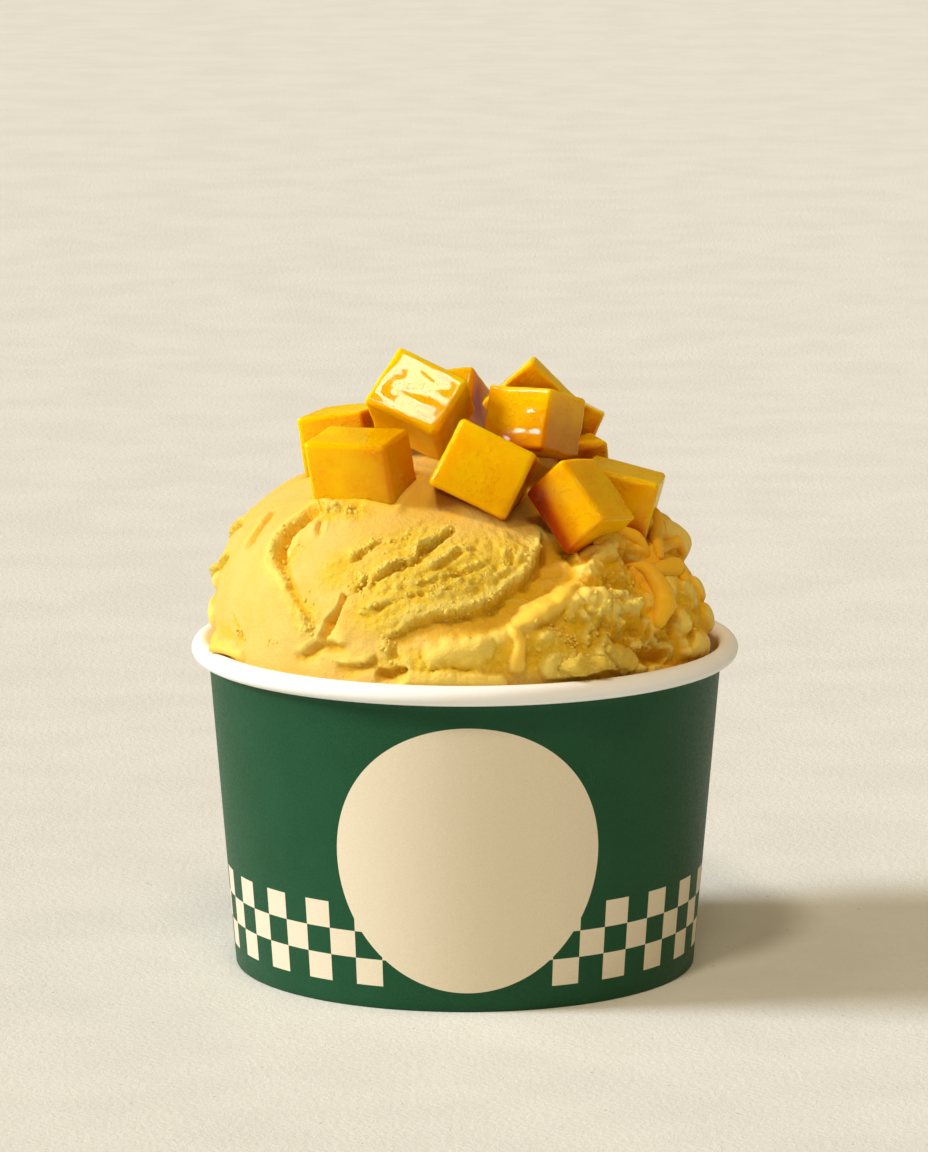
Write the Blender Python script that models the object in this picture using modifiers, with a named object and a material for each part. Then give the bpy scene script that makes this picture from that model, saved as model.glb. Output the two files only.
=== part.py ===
"""Gelato cup: a rolled-rim paper cup filled with a mound of gelato under eleven mango cubes.

Named sizes are in millimetres and angles in degrees; meshes are written in metres.
The cup's axis is Z, its foot stands on z = 0, and its front faces -Y.
An azimuth is measured round the cup from the front: 90 is its right side, -90 its left.
"""
import math

import bmesh
import bpy
import numpy as np
from mathutils import Matrix, Vector

MM = 0.001
GAP = 0.3                      # clearance between pieces that touch
WALL_CLEARANCE = GAP + 0.05    # the same for the gelato, whose sides are faceted
ROLL_CLEARANCE = GAP + 0.1

# Paper cup
RIM_RADIUS = 48.0
CUP_HEIGHT = 58.1
ROLL_RADIUS = 1.75             # half the thickness of the rolled rim
WALL_TOP_RADIUS = 45.0         # outer radius just under the roll
FOOT_RADIUS = 40.5
PAPER = 0.5
FOOT_THICKNESS = 1.4           # wall folded round the skirt of the base
FOOT_HEIGHT = 5.0
FOOT_ROUNDING = 0.3
BASE_THICKNESS = 0.7
CUP_STEPS = 72
ROLL_POINTS = 11
ROLL_SWEEP = 245.0             # the roll's arc, from its inner side round to its underside
ROLL_OVERLAP = 0.1             # the roll's edge meets the wall this far below the roll
FOOT_DRAFT = 0.1

# Gelato fill and mound
MOUND_RADIUS = 43.4
LEFT_SIDE_SPREAD = 0.6         # the mound reaches further out on the left
MOUND_WIDEST = 59.5            # height at which the mound stops swelling outwards
MOUND_TOP = 85.5
LEFT_SIDE_LIFT = 2.5           # the left side swells higher up than the right
TOP_TILT = 0.1                 # fall of the top for each millimetre to the right
CROWNS = (                     # extra rises under the cubes: across, back, height, reach
    (-3.0, 0.0, 2.4, 16.0),
    (8.0, 20.0, 4.9, 20.0),
    (-19.0, -18.0, 2.2, 11.0),
)
FULLNESS = 2.35                # superellipse exponent of the mound's outline
FULLNESS_TILT = 0.15
FULLNESS_BACK = 1.2            # the back has the fuller shoulder
FILL_SHOULDER = 52.0           # below this height the fill meets the wall
SKIRT_HEIGHTS = (57.6, 55.6)   # rings between the mound and the fill's shoulder
GELATO_STEPS = 120
MOUND_RINGS = 28
RELIEF_SAMPLE = 0.7            # each point takes the mean relief of its surroundings
SMOOTH_PASSES = 2
SMOOTH_SHARE = 0.35

# Mango cubes: centre, rotation, sides, and the lean of each cut face
CUBES = (
    ((-7.7, -1.9, 99.3), (-37, 21, -23), (14.4, 12.3, 12.1), (0, 0, 0)),
    ((-1.5, 21.6, 93.8), (-34, -8, -19), (10.2, 12.9, 12.7), (0, 0, 0)),
    ((-17.9, -14.7, 90.5), (7, -1, -21), (15.2, 12.2, 11.3), (0, -0.1, 0)),
    ((-20.7, 9.9, 90.7), (1, -9, -21), (13.0, 13.2, 12.3), (0, 0, 0)),
    ((12.0, -2.4, 96.3), (-15, -2, -36), (13.4, 13.7, 11.2), (-0.13, -0.02, 0.06)),
    ((11.7, 13.8, 97.3), (-3, 44, -5), (12.0, 8.8, 12.0), (0, 0.09, 0)),
    ((17.6, 23.8, 91.2), (-8, 24, -6), (11.6, 11.0, 11.4), (0, 0, 0)),
    ((20.9, 10.6, 86.8), (4, -6, 20), (7.4, 8.0, 9.4), (0, 0, 0)),
    ((3.5, -18.8, 90.3), (-15, 25, -11), (14.7, 13.0, 12.8), (0, 0, 0)),
    ((19.9, -22.5, 85.0), (-8, -43, -26), (9.9, 11.6, 13.6), (0, 0, 0)),
    ((26.8, -3.5, 82.7), (0, 14, -7), (13.3, 13.0, 11.5), (0, 0, 0)),
)
CUBE_ROUNDING = 1.1
CUBE_SEGMENTS = 2

# Folds of the scooped gelato. A route is (azimuth, height) pairs, and its left-hand side stands
# high by "high" over a reach, above a hollow of depth "low" on its right-hand side.
FOLDS = (
    dict(route=((-37, 64), (-40, 68), (-45, 71), (-50, 74), (-54, 76), (-56, 78), (-57, 81), (-62, 84.5)),
         high=0.9, high_reach=2.6, low=2.6, low_reach=2.0, edge=0.4),
    dict(route=((-31, 77), (-29, 79), (-26, 81)),
         high=0.3, high_reach=2.0, low=1.5, low_reach=1.2, edge=0.3),
    dict(route=((-22, 73), (-21, 76), (-18, 77.5), (-14, 78.5), (-12, 81), (-5, 82.5)),
         high=0.6, high_reach=2.0, low=1.9, low_reach=1.6, edge=0.35),
    dict(route=((-30, 71), (-27, 73.5), (-26, 76.5)),
         high=0.4, high_reach=1.6, low=1.5, low_reach=1.2, edge=0.3),
    dict(route=((-11, 75), (-6, 77), (0, 79)),
         high=0.4, high_reach=1.6, low=1.0, low_reach=1.4, edge=0.3),
    dict(route=((-20, 65), (-15, 67.5), (-6, 69), (4, 71), (11, 73.5), (19, 76.5), (30, 79.5)),
         high=1.0, high_reach=3.0, low=2.0, low_reach=3.6, edge=0.35),
    dict(route=((43, 76.5), (30, 74), (22, 71), (14, 69), (7, 67), (0, 65.5), (-8, 63.5), (-17, 63)),
         high=1.7, high_reach=5.0, low=0.8, low_reach=1.8, edge=0.45),
    dict(route=((-70, 74.5), (-73, 78), (-80, 81.5)),
         high=0.3, high_reach=1.5, low=0.9, low_reach=1.2, edge=0.3),
    dict(route=((-61, 60.5), (-67, 64.5)),
         high=0.2, high_reach=1.2, low=0.7, low_reach=0.9, edge=0.3),
)
# Lobes stand proud along a route by "height" and pits sink, both with a rounded section.
LOBES = (
    dict(route=((52, 74), (54, 70), (52, 67), (50, 64.5)), radius=2.2, height=2.9),
    dict(route=((58, 79), (68, 78.5), (78, 76.5), (75, 74)), radius=2.0, height=2.2),
    dict(route=((80, 79), (90, 76.5), (94, 73)), radius=3.4, height=4.2),
    dict(route=((62, 73), (73, 71.3), (66, 69.5)), radius=1.8, height=2.0),
    dict(route=((44, 76), (39, 74)), radius=2.6, height=2.4),
    dict(route=((30, 72), (24, 71.5), (18, 70), (13, 68.5)), radius=1.9, height=1.5),
    dict(route=((10, 67), (11, 64.5), (10, 62)), radius=1.0, height=1.3),
    dict(route=((20, 60.5), (28, 61)), radius=2.2, height=2.0),
    dict(route=((32, 60), (38, 62.5)), radius=2.5, height=2.4),
    dict(route=((-12, 57.6), (-3, 58.4), (7, 57.6)), radius=2.2, height=1.6),
    dict(route=((88, 67), (87, 66)), radius=2.2, height=1.5),
    dict(route=((84, 62.5), (90, 61)), radius=2.4, height=1.6),
    dict(route=((-74, 58.2), (-64, 58.6)), radius=1.6, height=1.3),
    dict(route=((-88, 69), (-96, 68.5)), radius=2.0, height=0.9),
    dict(route=((-86, 62), (-98, 62)), radius=2.2, height=1.0),
    dict(route=((-68, 85.5), (-72, 86.5)), radius=2.2, height=1.2),
    dict(route=((-31, 70.5), (-31, 67.5), (-33, 65)), radius=1.5, height=-2.2),
    dict(route=((-41, 61.5), (-34, 61.5), (-28, 62)), radius=2.2, height=-1.5),
    dict(route=((40, 59.5), (51, 58.5)), radius=1.5, height=-3.0),
    dict(route=((47, 75.5), (50, 72)), radius=1.7, height=-2.0),
    dict(route=((60, 75.5), (64, 74.8)), radius=1.6, height=-1.8),
)
# The unseen side of the scoop carries the same kind of sweeping folds.
BACK_FOLDS = 6
BACK_START = 108
BACK_STEP = 27
BACK_SWEEP = 44
BACK_LOW, BACK_HIGH = 61.0, 80.0
BACK_SEED = 4

# Broken, lumpy gelato on the right-hand side of the front
ROUGH_CENTRE = (48, 67)
ROUGH_SPREAD = (30, 11)
ROUGH_HEIGHT = 0.7
ROUGH_SIZE = 4.2
UNEVEN_HEIGHT = 0.35
UNEVEN_SIZE = 11.0
NOISE_SEED = 11

COLOURS = {
    "paper_print": ((0.026, 0.135, 0.066, 1.0), 0.55),
    "paper_white": ((0.80, 0.77, 0.71, 1.0), 0.60),
    "gelato": ((0.86, 0.57, 0.115, 1.0), 0.50),
    "mango": ((0.84, 0.40, 0.012, 1.0), 0.25),
}


def clear_scene():
    for old in list(bpy.data.objects):
        bpy.data.objects.remove(old, do_unlink=True)


def new_collection(name):
    collection = bpy.data.collections.new(name)
    bpy.context.scene.collection.children.link(collection)
    return collection


def principled(name):
    colour, roughness = COLOURS[name]
    material = bpy.data.materials.new(name)
    material.use_nodes = True
    shader = material.node_tree.nodes["Principled BSDF"]
    shader.inputs["Base Color"].default_value = colour
    shader.inputs["Roughness"].default_value = roughness
    shader.inputs["Metallic"].default_value = 0.0
    return material


def add_object(name, mesh, collection, material=None):
    piece = bpy.data.objects.new(name, mesh)
    collection.objects.link(piece)
    if material is not None:
        mesh.materials.append(material)
    return piece


def evaluated_mesh(piece):
    """The piece's mesh with its modifiers applied."""
    bpy.context.view_layer.update()
    graph = bpy.context.evaluated_depsgraph_get()
    return bpy.data.meshes.new_from_object(piece.evaluated_get(graph))


def turned(name, profile, closed, steps, collection, material):
    """A profile of (radius, height) points turned round Z; it runs down its outer side."""
    mesh = bpy.data.meshes.new(name)
    points = [(radius * MM, 0.0, height * MM) for radius, height in profile]
    edges = [(i, i + 1) for i in range(len(points) - 1)]
    if closed:
        edges.append((len(points) - 1, 0))
    mesh.from_pydata(points, edges, [])
    piece = add_object(name, mesh, collection, material)
    screw = piece.modifiers.new("turn", "SCREW")
    screw.steps = steps
    screw.render_steps = steps
    screw.use_merge_vertices = True
    screw.merge_threshold = 0.00001
    screw.use_smooth_shade = True
    return piece


def wall_radius(height):
    """Outer radius of the cup's tapered wall."""
    roll_foot = CUP_HEIGHT - 2 * ROLL_RADIUS
    return FOOT_RADIUS + (WALL_TOP_RADIUS - FOOT_RADIUS) * height / roll_foot


def roll_centre():
    return RIM_RADIUS - ROLL_RADIUS, CUP_HEIGHT - ROLL_RADIUS


def cup_wall(collection, material):
    """Tapered paper wall, rolled outwards at the rim and folded in at the foot."""
    centre_radius, centre_height = roll_centre()
    inner_top = wall_radius(centre_height) - PAPER
    # The roll runs clockwise from its inner side, over the top, to its underside.
    roll = [math.radians(180 - i * ROLL_SWEEP / (ROLL_POINTS - 1)) for i in range(ROLL_POINTS)]
    rim = [(centre_radius + ROLL_RADIUS * math.cos(a), centre_height + ROLL_RADIUS * math.sin(a))
           for a in roll]
    rim[0] = (inner_top, centre_height)
    under = CUP_HEIGHT - 2 * ROLL_RADIUS - ROLL_OVERLAP
    foot_inside = FOOT_RADIUS - FOOT_THICKNESS
    outside = [(wall_radius(under), under), (wall_radius(FOOT_ROUNDING), FOOT_ROUNDING),
               (FOOT_RADIUS - FOOT_ROUNDING, 0.0)]
    inside = [(foot_inside + FOOT_ROUNDING, 0.0), (foot_inside, FOOT_ROUNDING),
              (foot_inside + FOOT_DRAFT, FOOT_HEIGHT),
              (wall_radius(FOOT_HEIGHT) - PAPER, FOOT_HEIGHT)]
    return turned("cup_wall", rim + outside + inside, True, CUP_STEPS, collection, material)


def cup_base(collection, material):
    """Paper disc that rests on the folded foot."""
    low = FOOT_HEIGHT + GAP
    high = low + BASE_THICKNESS
    radius = wall_radius(low) - PAPER - GAP
    profile = [(0.0, high), (radius, high), (radius, low), (0.0, low)]
    return turned("cup_base", profile, False, CUP_STEPS, collection, material)


def lattice_noise(points, size, seed):
    """Smooth noise between -1 and 1, with features of about the given size."""
    grid = points / size + seed * 17.3
    cell = np.floor(grid).astype(np.int64)
    part = grid - cell
    blend = part * part * (3.0 - 2.0 * part)
    total = np.zeros(len(points))
    for corner in range(8):
        offset = np.array([corner & 1, corner >> 1 & 1, corner >> 2 & 1])
        key = (cell + offset) @ np.array([73856093, 19349663, 83492791]) + seed * 2654435
        key = (key ^ key >> 13) * 1274126177 & 0x7FFFFFFF
        value = (key ^ key >> 16) % 65536 / 32767.5 - 1.0
        weight = np.prod(np.where(offset == 1, blend, 1.0 - blend), axis=1)
        total += value * weight
    return total


def mound_shape(azimuth, across):
    """Height of the widest ring and fullness of the outline there."""
    widest = MOUND_WIDEST - LEFT_SIDE_LIFT * across / MOUND_RADIUS
    fullness = FULLNESS - FULLNESS_TILT * across / MOUND_RADIUS
    fullness = fullness + FULLNESS_BACK * np.maximum(-np.cos(np.radians(azimuth)), 0.0)
    return widest, fullness


def crown_rise(x, y):
    rise = 0.0
    for across, back, height, reach in CROWNS:
        rise = rise + height * np.exp(-((x - across) ** 2 + (y - back) ** 2) / reach ** 2)
    return rise


def mound_point(azimuth, climb):
    """Points of the plain mound: azimuth round it, climb from 0 at its widest to 90 at the top."""
    turn = np.radians(azimuth)
    rise = np.radians(climb)
    radius = MOUND_RADIUS - LEFT_SIDE_SPREAD * np.sin(turn)
    across = radius * np.cos(rise) * np.sin(turn)
    widest, fullness = mound_shape(azimuth, across)
    out = radius * np.maximum(np.cos(rise), 0.0) ** (2.0 / fullness)
    x = out * np.sin(turn)
    y = -out * np.cos(turn)
    top = MOUND_TOP - TOP_TILT * x + crown_rise(x, y)
    height = widest + (top - widest) * np.sin(rise) ** (2.0 / fullness)
    return np.stack([x, y, height], axis=-1)


def climb_at(azimuth, height):
    """The climb at which the plain mound reaches a height."""
    climbs = np.linspace(0.0, 90.0, 361)
    heights = mound_point(np.full_like(climbs, azimuth), climbs)[:, 2]
    return float(np.interp(height, heights, climbs))


def route_on_mound(route, pieces=5):
    """A smooth run of points on the mound through (azimuth, height) pairs."""
    knots = np.array([(azimuth, height) for azimuth, height in route], dtype=float)
    padded = np.vstack([2 * knots[0] - knots[1], knots, 2 * knots[-1] - knots[-2]])
    run = []
    for i in range(len(knots) - 1):
        before, start, end, after = padded[i:i + 4]
        for t in np.arange(pieces) / pieces:
            run.append(0.5 * (2 * start + (end - before) * t
                              + (2 * before - 5 * start + 4 * end - after) * t ** 2
                              + (3 * start - before - 3 * end + after) * t ** 3))
    run.append(knots[-1])
    points = []
    for azimuth, height in run:
        across = MOUND_RADIUS * math.sin(math.radians(azimuth))
        widest = mound_shape(azimuth, across)[0]
        if height >= widest:
            point = mound_point(np.array([azimuth]), np.array([climb_at(azimuth, height)]))[0]
        else:
            point = mound_point(np.array([azimuth]), np.array([0.0]))[0]
            point[2] = height
        points.append(point)
    return np.array(points)


def distance_to_route(points, normals, route):
    """Distance to a route, positive on its left-hand side, and how far along the route."""
    best = np.full(len(points), 1e9)
    side = np.ones(len(points))
    along = np.zeros(len(points))
    lengths = np.linalg.norm(np.diff(route, axis=0), axis=1)
    starts = np.concatenate([[0.0], np.cumsum(lengths)])
    for i, length in enumerate(lengths):
        direction = (route[i + 1] - route[i]) / length
        offset = points - route[i]
        reach = np.clip(offset @ direction, 0.0, length)
        away = offset - reach[:, None] * direction
        distance = np.linalg.norm(away, axis=1)
        nearer = distance < best
        left = np.einsum("ij,ij->i", np.cross(normals, direction), away)
        best = np.where(nearer, distance, best)
        side = np.where(nearer, np.sign(left + 1e-12), side)
        along = np.where(nearer, (starts[i] + reach) / starts[-1], along)
    return best, side, along


def fold_height(points, normals, fold):
    """A scooped edge: raised on the left of its route, hollowed on the right."""
    distance, side, along = distance_to_route(points, normals, route_on_mound(fold["route"]))
    signed = distance * side
    step = 1.0 / (1.0 + np.exp(-np.clip(signed / fold["edge"], -40, 40)))
    fade = np.clip(np.minimum(along, 1.0 - along) / 0.15, 0.0, 1.0)
    fade = fade * fade * (3.0 - 2.0 * fade)
    ends = np.exp(-np.maximum(distance - fold["low_reach"], 0.0) / fold["low_reach"])
    raised = fold["high"] * step * np.exp(-np.maximum(signed, 0.0) / fold["high_reach"])
    sunk = fold["low"] * (1.0 - step) * np.exp(-(np.minimum(signed, 0.0) / fold["low_reach"]) ** 2)
    return (raised - sunk * ends) * fade


def lobe_height(points, normals, lobe):
    """A rounded lobe or pit along a route."""
    distance = distance_to_route(points, normals, route_on_mound(lobe["route"]))[0]
    inside = np.clip(1.0 - (distance / lobe["radius"]) ** 2, 0.0, 1.0)
    return lobe["height"] * inside ** 0.7


def back_folds():
    """Sweeping folds round the unseen side, each starting lower than it ends."""
    draw = np.random.default_rng(BACK_SEED)
    folds = []
    for i in range(BACK_FOLDS):
        start = BACK_START + i * BACK_STEP + draw.uniform(-5, 5)
        climb = np.linspace(0.0, 1.0, 6)
        azimuths = start + BACK_SWEEP * climb ** 1.5
        heights = BACK_LOW + (BACK_HIGH - BACK_LOW) * climb + draw.uniform(-1.5, 1.5)
        folds.append(dict(route=tuple(zip(azimuths, heights)), high=draw.uniform(0.5, 1.0),
                          high_reach=3.0, low=draw.uniform(1.3, 2.0), low_reach=2.4, edge=0.4))
    return folds


def roughness_at(azimuth, height):
    """How broken the surface is, from 0 where it is smooth to 1 in the lumpy area."""
    across = (azimuth - ROUGH_CENTRE[0]) / ROUGH_SPREAD[0]
    up = (height - ROUGH_CENTRE[1]) / ROUGH_SPREAD[1]
    return np.exp(-(across ** 2 + up ** 2) ** 2)


def relief(points, normals):
    """Height of the folds, lobes and lumps over the plain mound."""
    height = np.zeros(len(points))
    for fold in FOLDS + tuple(back_folds()):
        height += fold_height(points, normals, fold)
    lobes = np.zeros(len(points))
    pits = np.zeros(len(points))
    for lobe in LOBES:
        lump = lobe_height(points, normals, lobe)
        lobes = np.maximum(lobes, lump)
        pits = np.minimum(pits, lump)
    height += lobes + pits
    azimuth = np.degrees(np.arctan2(points[:, 0], -points[:, 1]))
    rough = roughness_at(azimuth, points[:, 2])
    height += rough * ROUGH_HEIGHT * lattice_noise(points, ROUGH_SIZE, NOISE_SEED)
    height += UNEVEN_HEIGHT * lattice_noise(points, UNEVEN_SIZE, NOISE_SEED + 1)
    return height


def mean_relief(points, normals):
    """The relief averaged over a small patch round each point."""
    sideways = np.cross(normals, np.array([0.0, 0.0, 1.0]))
    sideways /= np.maximum(np.linalg.norm(sideways, axis=1), 1e-6)[:, None]
    upwards = np.cross(sideways, normals)
    total = 2.0 * relief(points, normals)
    for direction in (sideways, -sideways, upwards, -upwards):
        total += relief(points + RELIEF_SAMPLE * direction, normals)
    return total / 6.0


def keep_inside_rim(points):
    """Hold the gelato a gap clear of the cup's wall and of its rolled rim."""
    out = np.hypot(points[:, 0], points[:, 1])
    centre_radius, centre_height = roll_centre()
    low = points[:, 2] < centre_height
    limit = np.where(low, wall_radius(points[:, 2]) - PAPER - WALL_CLEARANCE, 1e9)
    new_out = np.minimum(out, limit)
    from_roll = np.stack([new_out - centre_radius, points[:, 2] - centre_height], axis=1)
    distance = np.linalg.norm(from_roll, axis=1)
    clear = ROLL_RADIUS + ROLL_CLEARANCE
    push = np.where((distance < clear) & ~low, clear / np.maximum(distance, 1e-6), 1.0)
    new_out = centre_radius + from_roll[:, 0] * push
    height = centre_height + from_roll[:, 1] * push
    scale = new_out / np.maximum(out, 1e-6)
    return np.stack([points[:, 0] * scale, points[:, 1] * scale, height], axis=1)


def plain_dome(climb):
    """Radius and height of the even dome that the turned blank has."""
    rise = np.radians(climb)
    out = MOUND_RADIUS * np.maximum(np.cos(rise), 0.0) ** (2.0 / FULLNESS)
    height = MOUND_WIDEST + (MOUND_TOP - MOUND_WIDEST) * np.sin(rise) ** (2.0 / FULLNESS)
    return np.stack([out, height], axis=-1)


def gelato_profile():
    """The fill's plain turned outline, from the top of the mound to the middle of its floor."""
    climbs = np.linspace(90.0, 0.0, 721)
    steps = np.linalg.norm(np.diff(plain_dome(climbs), axis=0), axis=1)
    length = np.concatenate([[0.0], np.cumsum(steps)])
    wanted = np.linspace(0.0, length[-1], MOUND_RINGS)
    mound = [tuple(point) for point in plain_dome(np.interp(wanted, length, climbs))]
    mound[0] = (0.0, MOUND_TOP)
    floor = FOOT_HEIGHT + 2 * GAP + BASE_THICKNESS
    wall = [(wall_radius(z) - PAPER - WALL_CLEARANCE, z) for z in (FILL_SHOULDER, floor)]
    skirt = [(MOUND_RADIUS, z) for z in SKIRT_HEIGHTS]
    return mound + skirt + wall + [(0.0, floor)]


def soften(mesh, points, free):
    """Ease each free point towards the mean of its neighbours."""
    ends = np.empty(len(mesh.edges) * 2, dtype=np.int64)
    mesh.edges.foreach_get("vertices", ends)
    first, second = ends.reshape(-1, 2).T
    count = np.bincount(np.concatenate([first, second]), minlength=len(points))
    for _ in range(SMOOTH_PASSES):
        total = np.zeros_like(points)
        np.add.at(total, first, points[second])
        np.add.at(total, second, points[first])
        mean = total / np.maximum(count, 1)[:, None]
        points = points + (mean - points) * (SMOOTH_SHARE * free)[:, None]
    return points


def shape_gelato(mesh):
    """Turn the plain fill into the scooped mound, leaving what is inside the cup alone."""
    count = len(mesh.vertices)
    flat = np.empty(count * 3)
    mesh.vertices.foreach_get("co", flat)
    points = flat.reshape(-1, 3) / MM
    out = np.hypot(points[:, 0], points[:, 1])
    azimuth = np.degrees(np.arctan2(points[:, 0], -points[:, 1]))
    level = np.clip((points[:, 2] - MOUND_WIDEST) / (MOUND_TOP - MOUND_WIDEST), 0.0, 1.0)
    flatness = np.clip(out / MOUND_RADIUS, 0.0, 1.0)
    climb = np.degrees(np.arctan2(level ** (FULLNESS / 2), flatness ** (FULLNESS / 2)))
    mound = points[:, 2] >= MOUND_WIDEST - 0.01
    skirt = (points[:, 2] > FILL_SHOULDER + 1.0) & ~mound
    base = mound_point(azimuth, np.where(mound, climb, 0.0))
    sunk = (MOUND_WIDEST - points[:, 2]) / (MOUND_WIDEST - FILL_SHOULDER)
    base[:, 2] = np.where(skirt, base[:, 2] + (FILL_SHOULDER - base[:, 2]) * sunk, base[:, 2])
    ahead = mound_point(azimuth + 0.2, np.where(mound, climb, 0.0))
    above = mound_point(azimuth, np.where(mound, np.minimum(climb + 0.2, 90.0), 0.2))
    level_point = mound_point(azimuth, np.where(mound, climb, 0.0))
    normals = np.cross(ahead - level_point, above - level_point)
    size = np.linalg.norm(normals, axis=1)
    up = np.array([0.0, 0.0, 1.0])
    normals = np.where(size[:, None] > 1e-7, normals / np.maximum(size, 1e-9)[:, None], up)
    strength = np.where(mound, 1.0, np.where(skirt, 1.0 - sunk, 0.0))
    shaped = base + normals * (mean_relief(base, normals) * strength)[:, None]
    free = mound | skirt
    shaped = soften(mesh, np.where(free[:, None], shaped, points), free)
    points = np.where(free[:, None], keep_inside_rim(shaped), points)
    mesh.vertices.foreach_set("co", (points * MM).ravel())
    mesh.update()


def largest_body(mesh):
    """Drop any scrap that the cube seats cut loose."""
    work = bmesh.new()
    work.from_mesh(mesh)
    left = set(work.verts)
    bodies = []
    while left:
        body = [left.pop()]
        for vertex in body:
            for edge in vertex.link_edges:
                other = edge.other_vert(vertex)
                if other in left:
                    left.remove(other)
                    body.append(other)
        bodies.append(body)
    bodies.sort(key=len)
    for body in bodies[:-1]:
        bmesh.ops.delete(work, geom=body, context="VERTS")
    work.to_mesh(mesh)
    work.free()


def cube_object(name, cube, grow, collection, material):
    """A cut cube with soft edges; grow widens it on every side, for the cutters."""
    centre, rotation, sides, lean = cube
    mesh = bpy.data.meshes.new(name)
    work = bmesh.new()
    bmesh.ops.create_cube(work, size=1.0)
    stretch = Matrix.Diagonal([(side + 2 * grow) * MM for side in sides] + [1.0])
    slant = Matrix(((1, lean[0], lean[1], 0), (0, 1, lean[2], 0), (0, 0, 1, 0), (0, 0, 0, 1)))
    bmesh.ops.transform(work, matrix=slant @ stretch, verts=work.verts)
    work.to_mesh(mesh)
    work.free()
    piece = add_object(name, mesh, collection, material)
    piece.location = Vector(centre) * MM
    piece.rotation_euler = [math.radians(angle) for angle in rotation]
    bevel = piece.modifiers.new("soft_edges", "BEVEL")
    bevel.width = CUBE_ROUNDING * MM
    bevel.segments = CUBE_SEGMENTS
    bevel.limit_method = "NONE"
    mesh.shade_smooth()
    return piece


def seat_cutters(collection):
    cutters = []
    for number, cube in enumerate(CUBES, start=1):
        cutter = cube_object(f"cube_seat_{number:02d}", cube, GAP, collection, None)
        cutter.hide_render = True
        cutter.display_type = "WIRE"
        cutters.append(cutter)
    return cutters


def gelato(collection, cutters, material):
    """The whole fill as one solid, with a seat sunk into it for each cube it carries."""
    blank = turned("gelato_blank", gelato_profile(), False, GELATO_STEPS, collection, None)
    mesh = evaluated_mesh(blank)
    bpy.data.objects.remove(blank, do_unlink=True)
    shape_gelato(mesh)
    piece = add_object("gelato", mesh, collection, material)
    seats = piece.modifiers.new("cube_seats", "BOOLEAN")
    seats.operation = "DIFFERENCE"
    seats.operand_type = "COLLECTION"
    seats.collection = cutters
    seats.solver = "EXACT"
    cut = evaluated_mesh(piece)
    piece.modifiers.remove(seats)
    largest_body(cut)
    piece.data = cut
    cut.shade_smooth()
    return piece


def build():
    clear_scene()
    cup = new_collection("gelato_cup")
    cutters = new_collection("cutters")
    cup_wall(cup, principled("paper_print"))
    cup_base(cup, principled("paper_white"))
    seat_cutters(cutters)
    gelato(cup, cutters, principled("gelato"))
    mango = principled("mango")
    for number, cube in enumerate(CUBES, start=1):
        cube_object(f"mango_cube_{number:02d}", cube, 0.0, cup, mango)


build()
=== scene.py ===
"""Gelato cup: the looks of the paper cup, the scooped gelato and the mango cubes on it.

Named sizes are in millimetres and angles in degrees; meshes are written in metres.
An azimuth is measured round the cup from the front: 90 is its right side, -90 its left.
"""
import math

import bmesh
import bpy
import numpy as np
from mathutils import Euler, Matrix, Vector


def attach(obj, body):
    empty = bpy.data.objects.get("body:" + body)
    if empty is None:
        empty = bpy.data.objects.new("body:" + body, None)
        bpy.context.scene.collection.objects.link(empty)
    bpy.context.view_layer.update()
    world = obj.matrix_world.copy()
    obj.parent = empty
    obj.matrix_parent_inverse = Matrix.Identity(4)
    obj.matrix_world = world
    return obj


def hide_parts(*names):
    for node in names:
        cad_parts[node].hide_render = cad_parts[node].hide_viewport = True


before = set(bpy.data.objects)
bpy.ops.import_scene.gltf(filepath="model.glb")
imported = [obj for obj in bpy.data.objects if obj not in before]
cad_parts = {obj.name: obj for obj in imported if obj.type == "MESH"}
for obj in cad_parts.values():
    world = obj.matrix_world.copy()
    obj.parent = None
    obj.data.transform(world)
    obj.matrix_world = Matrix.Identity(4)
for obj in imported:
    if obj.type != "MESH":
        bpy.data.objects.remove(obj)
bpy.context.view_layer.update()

MM = 0.001

# Paper cup
RIM_RADIUS = 48.0
CUP_HEIGHT = 58.1
ROLL_RADIUS = 1.75
ROLL_CENTRE = (RIM_RADIUS - ROLL_RADIUS, CUP_HEIGHT - ROLL_RADIUS)
WALL_TOP_RADIUS = 45.0
FOOT_RADIUS = 40.5
PAPER = 0.5
FOOT_THICKNESS = 1.4
FOOT_HEIGHT = 5.0
FOOT_ROUNDING = 0.3
CUP_COLUMNS = 300
SEAM_AZIMUTH = 178.0
SEAM_THICKNESS = 0.28
SEAM_FADE = 9.0
# How much of the seam's thickness shows on each part of the paper, out from the axis
INSIDE, ROLL, OUTSIDE, FOOT = range(4)
SEAM_SHARES = (-0.25, 0.6, 1.0, 0.0)

# Print on the wall
PRINT_TURN = 0.7
DISC_HEIGHT = 26.95
DISC_RADIUS = 23.5
CHECK_ANGLE = 360.0 / 52
CHECK_LOW = 4.05
CHECK_SIDE = 4.72

# Mound
WALL_CLEARANCE = 0.35
ROLL_CLEARANCE = 0.4
MOUND_RADIUS = 43.4
LEFT_SIDE_SPREAD = 0.6
MOUND_WIDEST = 59.5
MOUND_TOP = 85.5
LEFT_SIDE_LIFT = 2.5
TOP_TILT = 0.1
# Swellings of its top: across, back, height, reach
CROWNS = ((-3, 0, 2.4, 16), (8, 20, 4.9, 20), (-19, -18, 2.2, 11))
FULLNESS = 2.35
FULLNESS_TILT = 0.15
FULLNESS_BACK = 1.2
# The fill under it, plain inside the cup
FILL_SHOULDER = 52
FILL_FLOOR = 6.3

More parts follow.
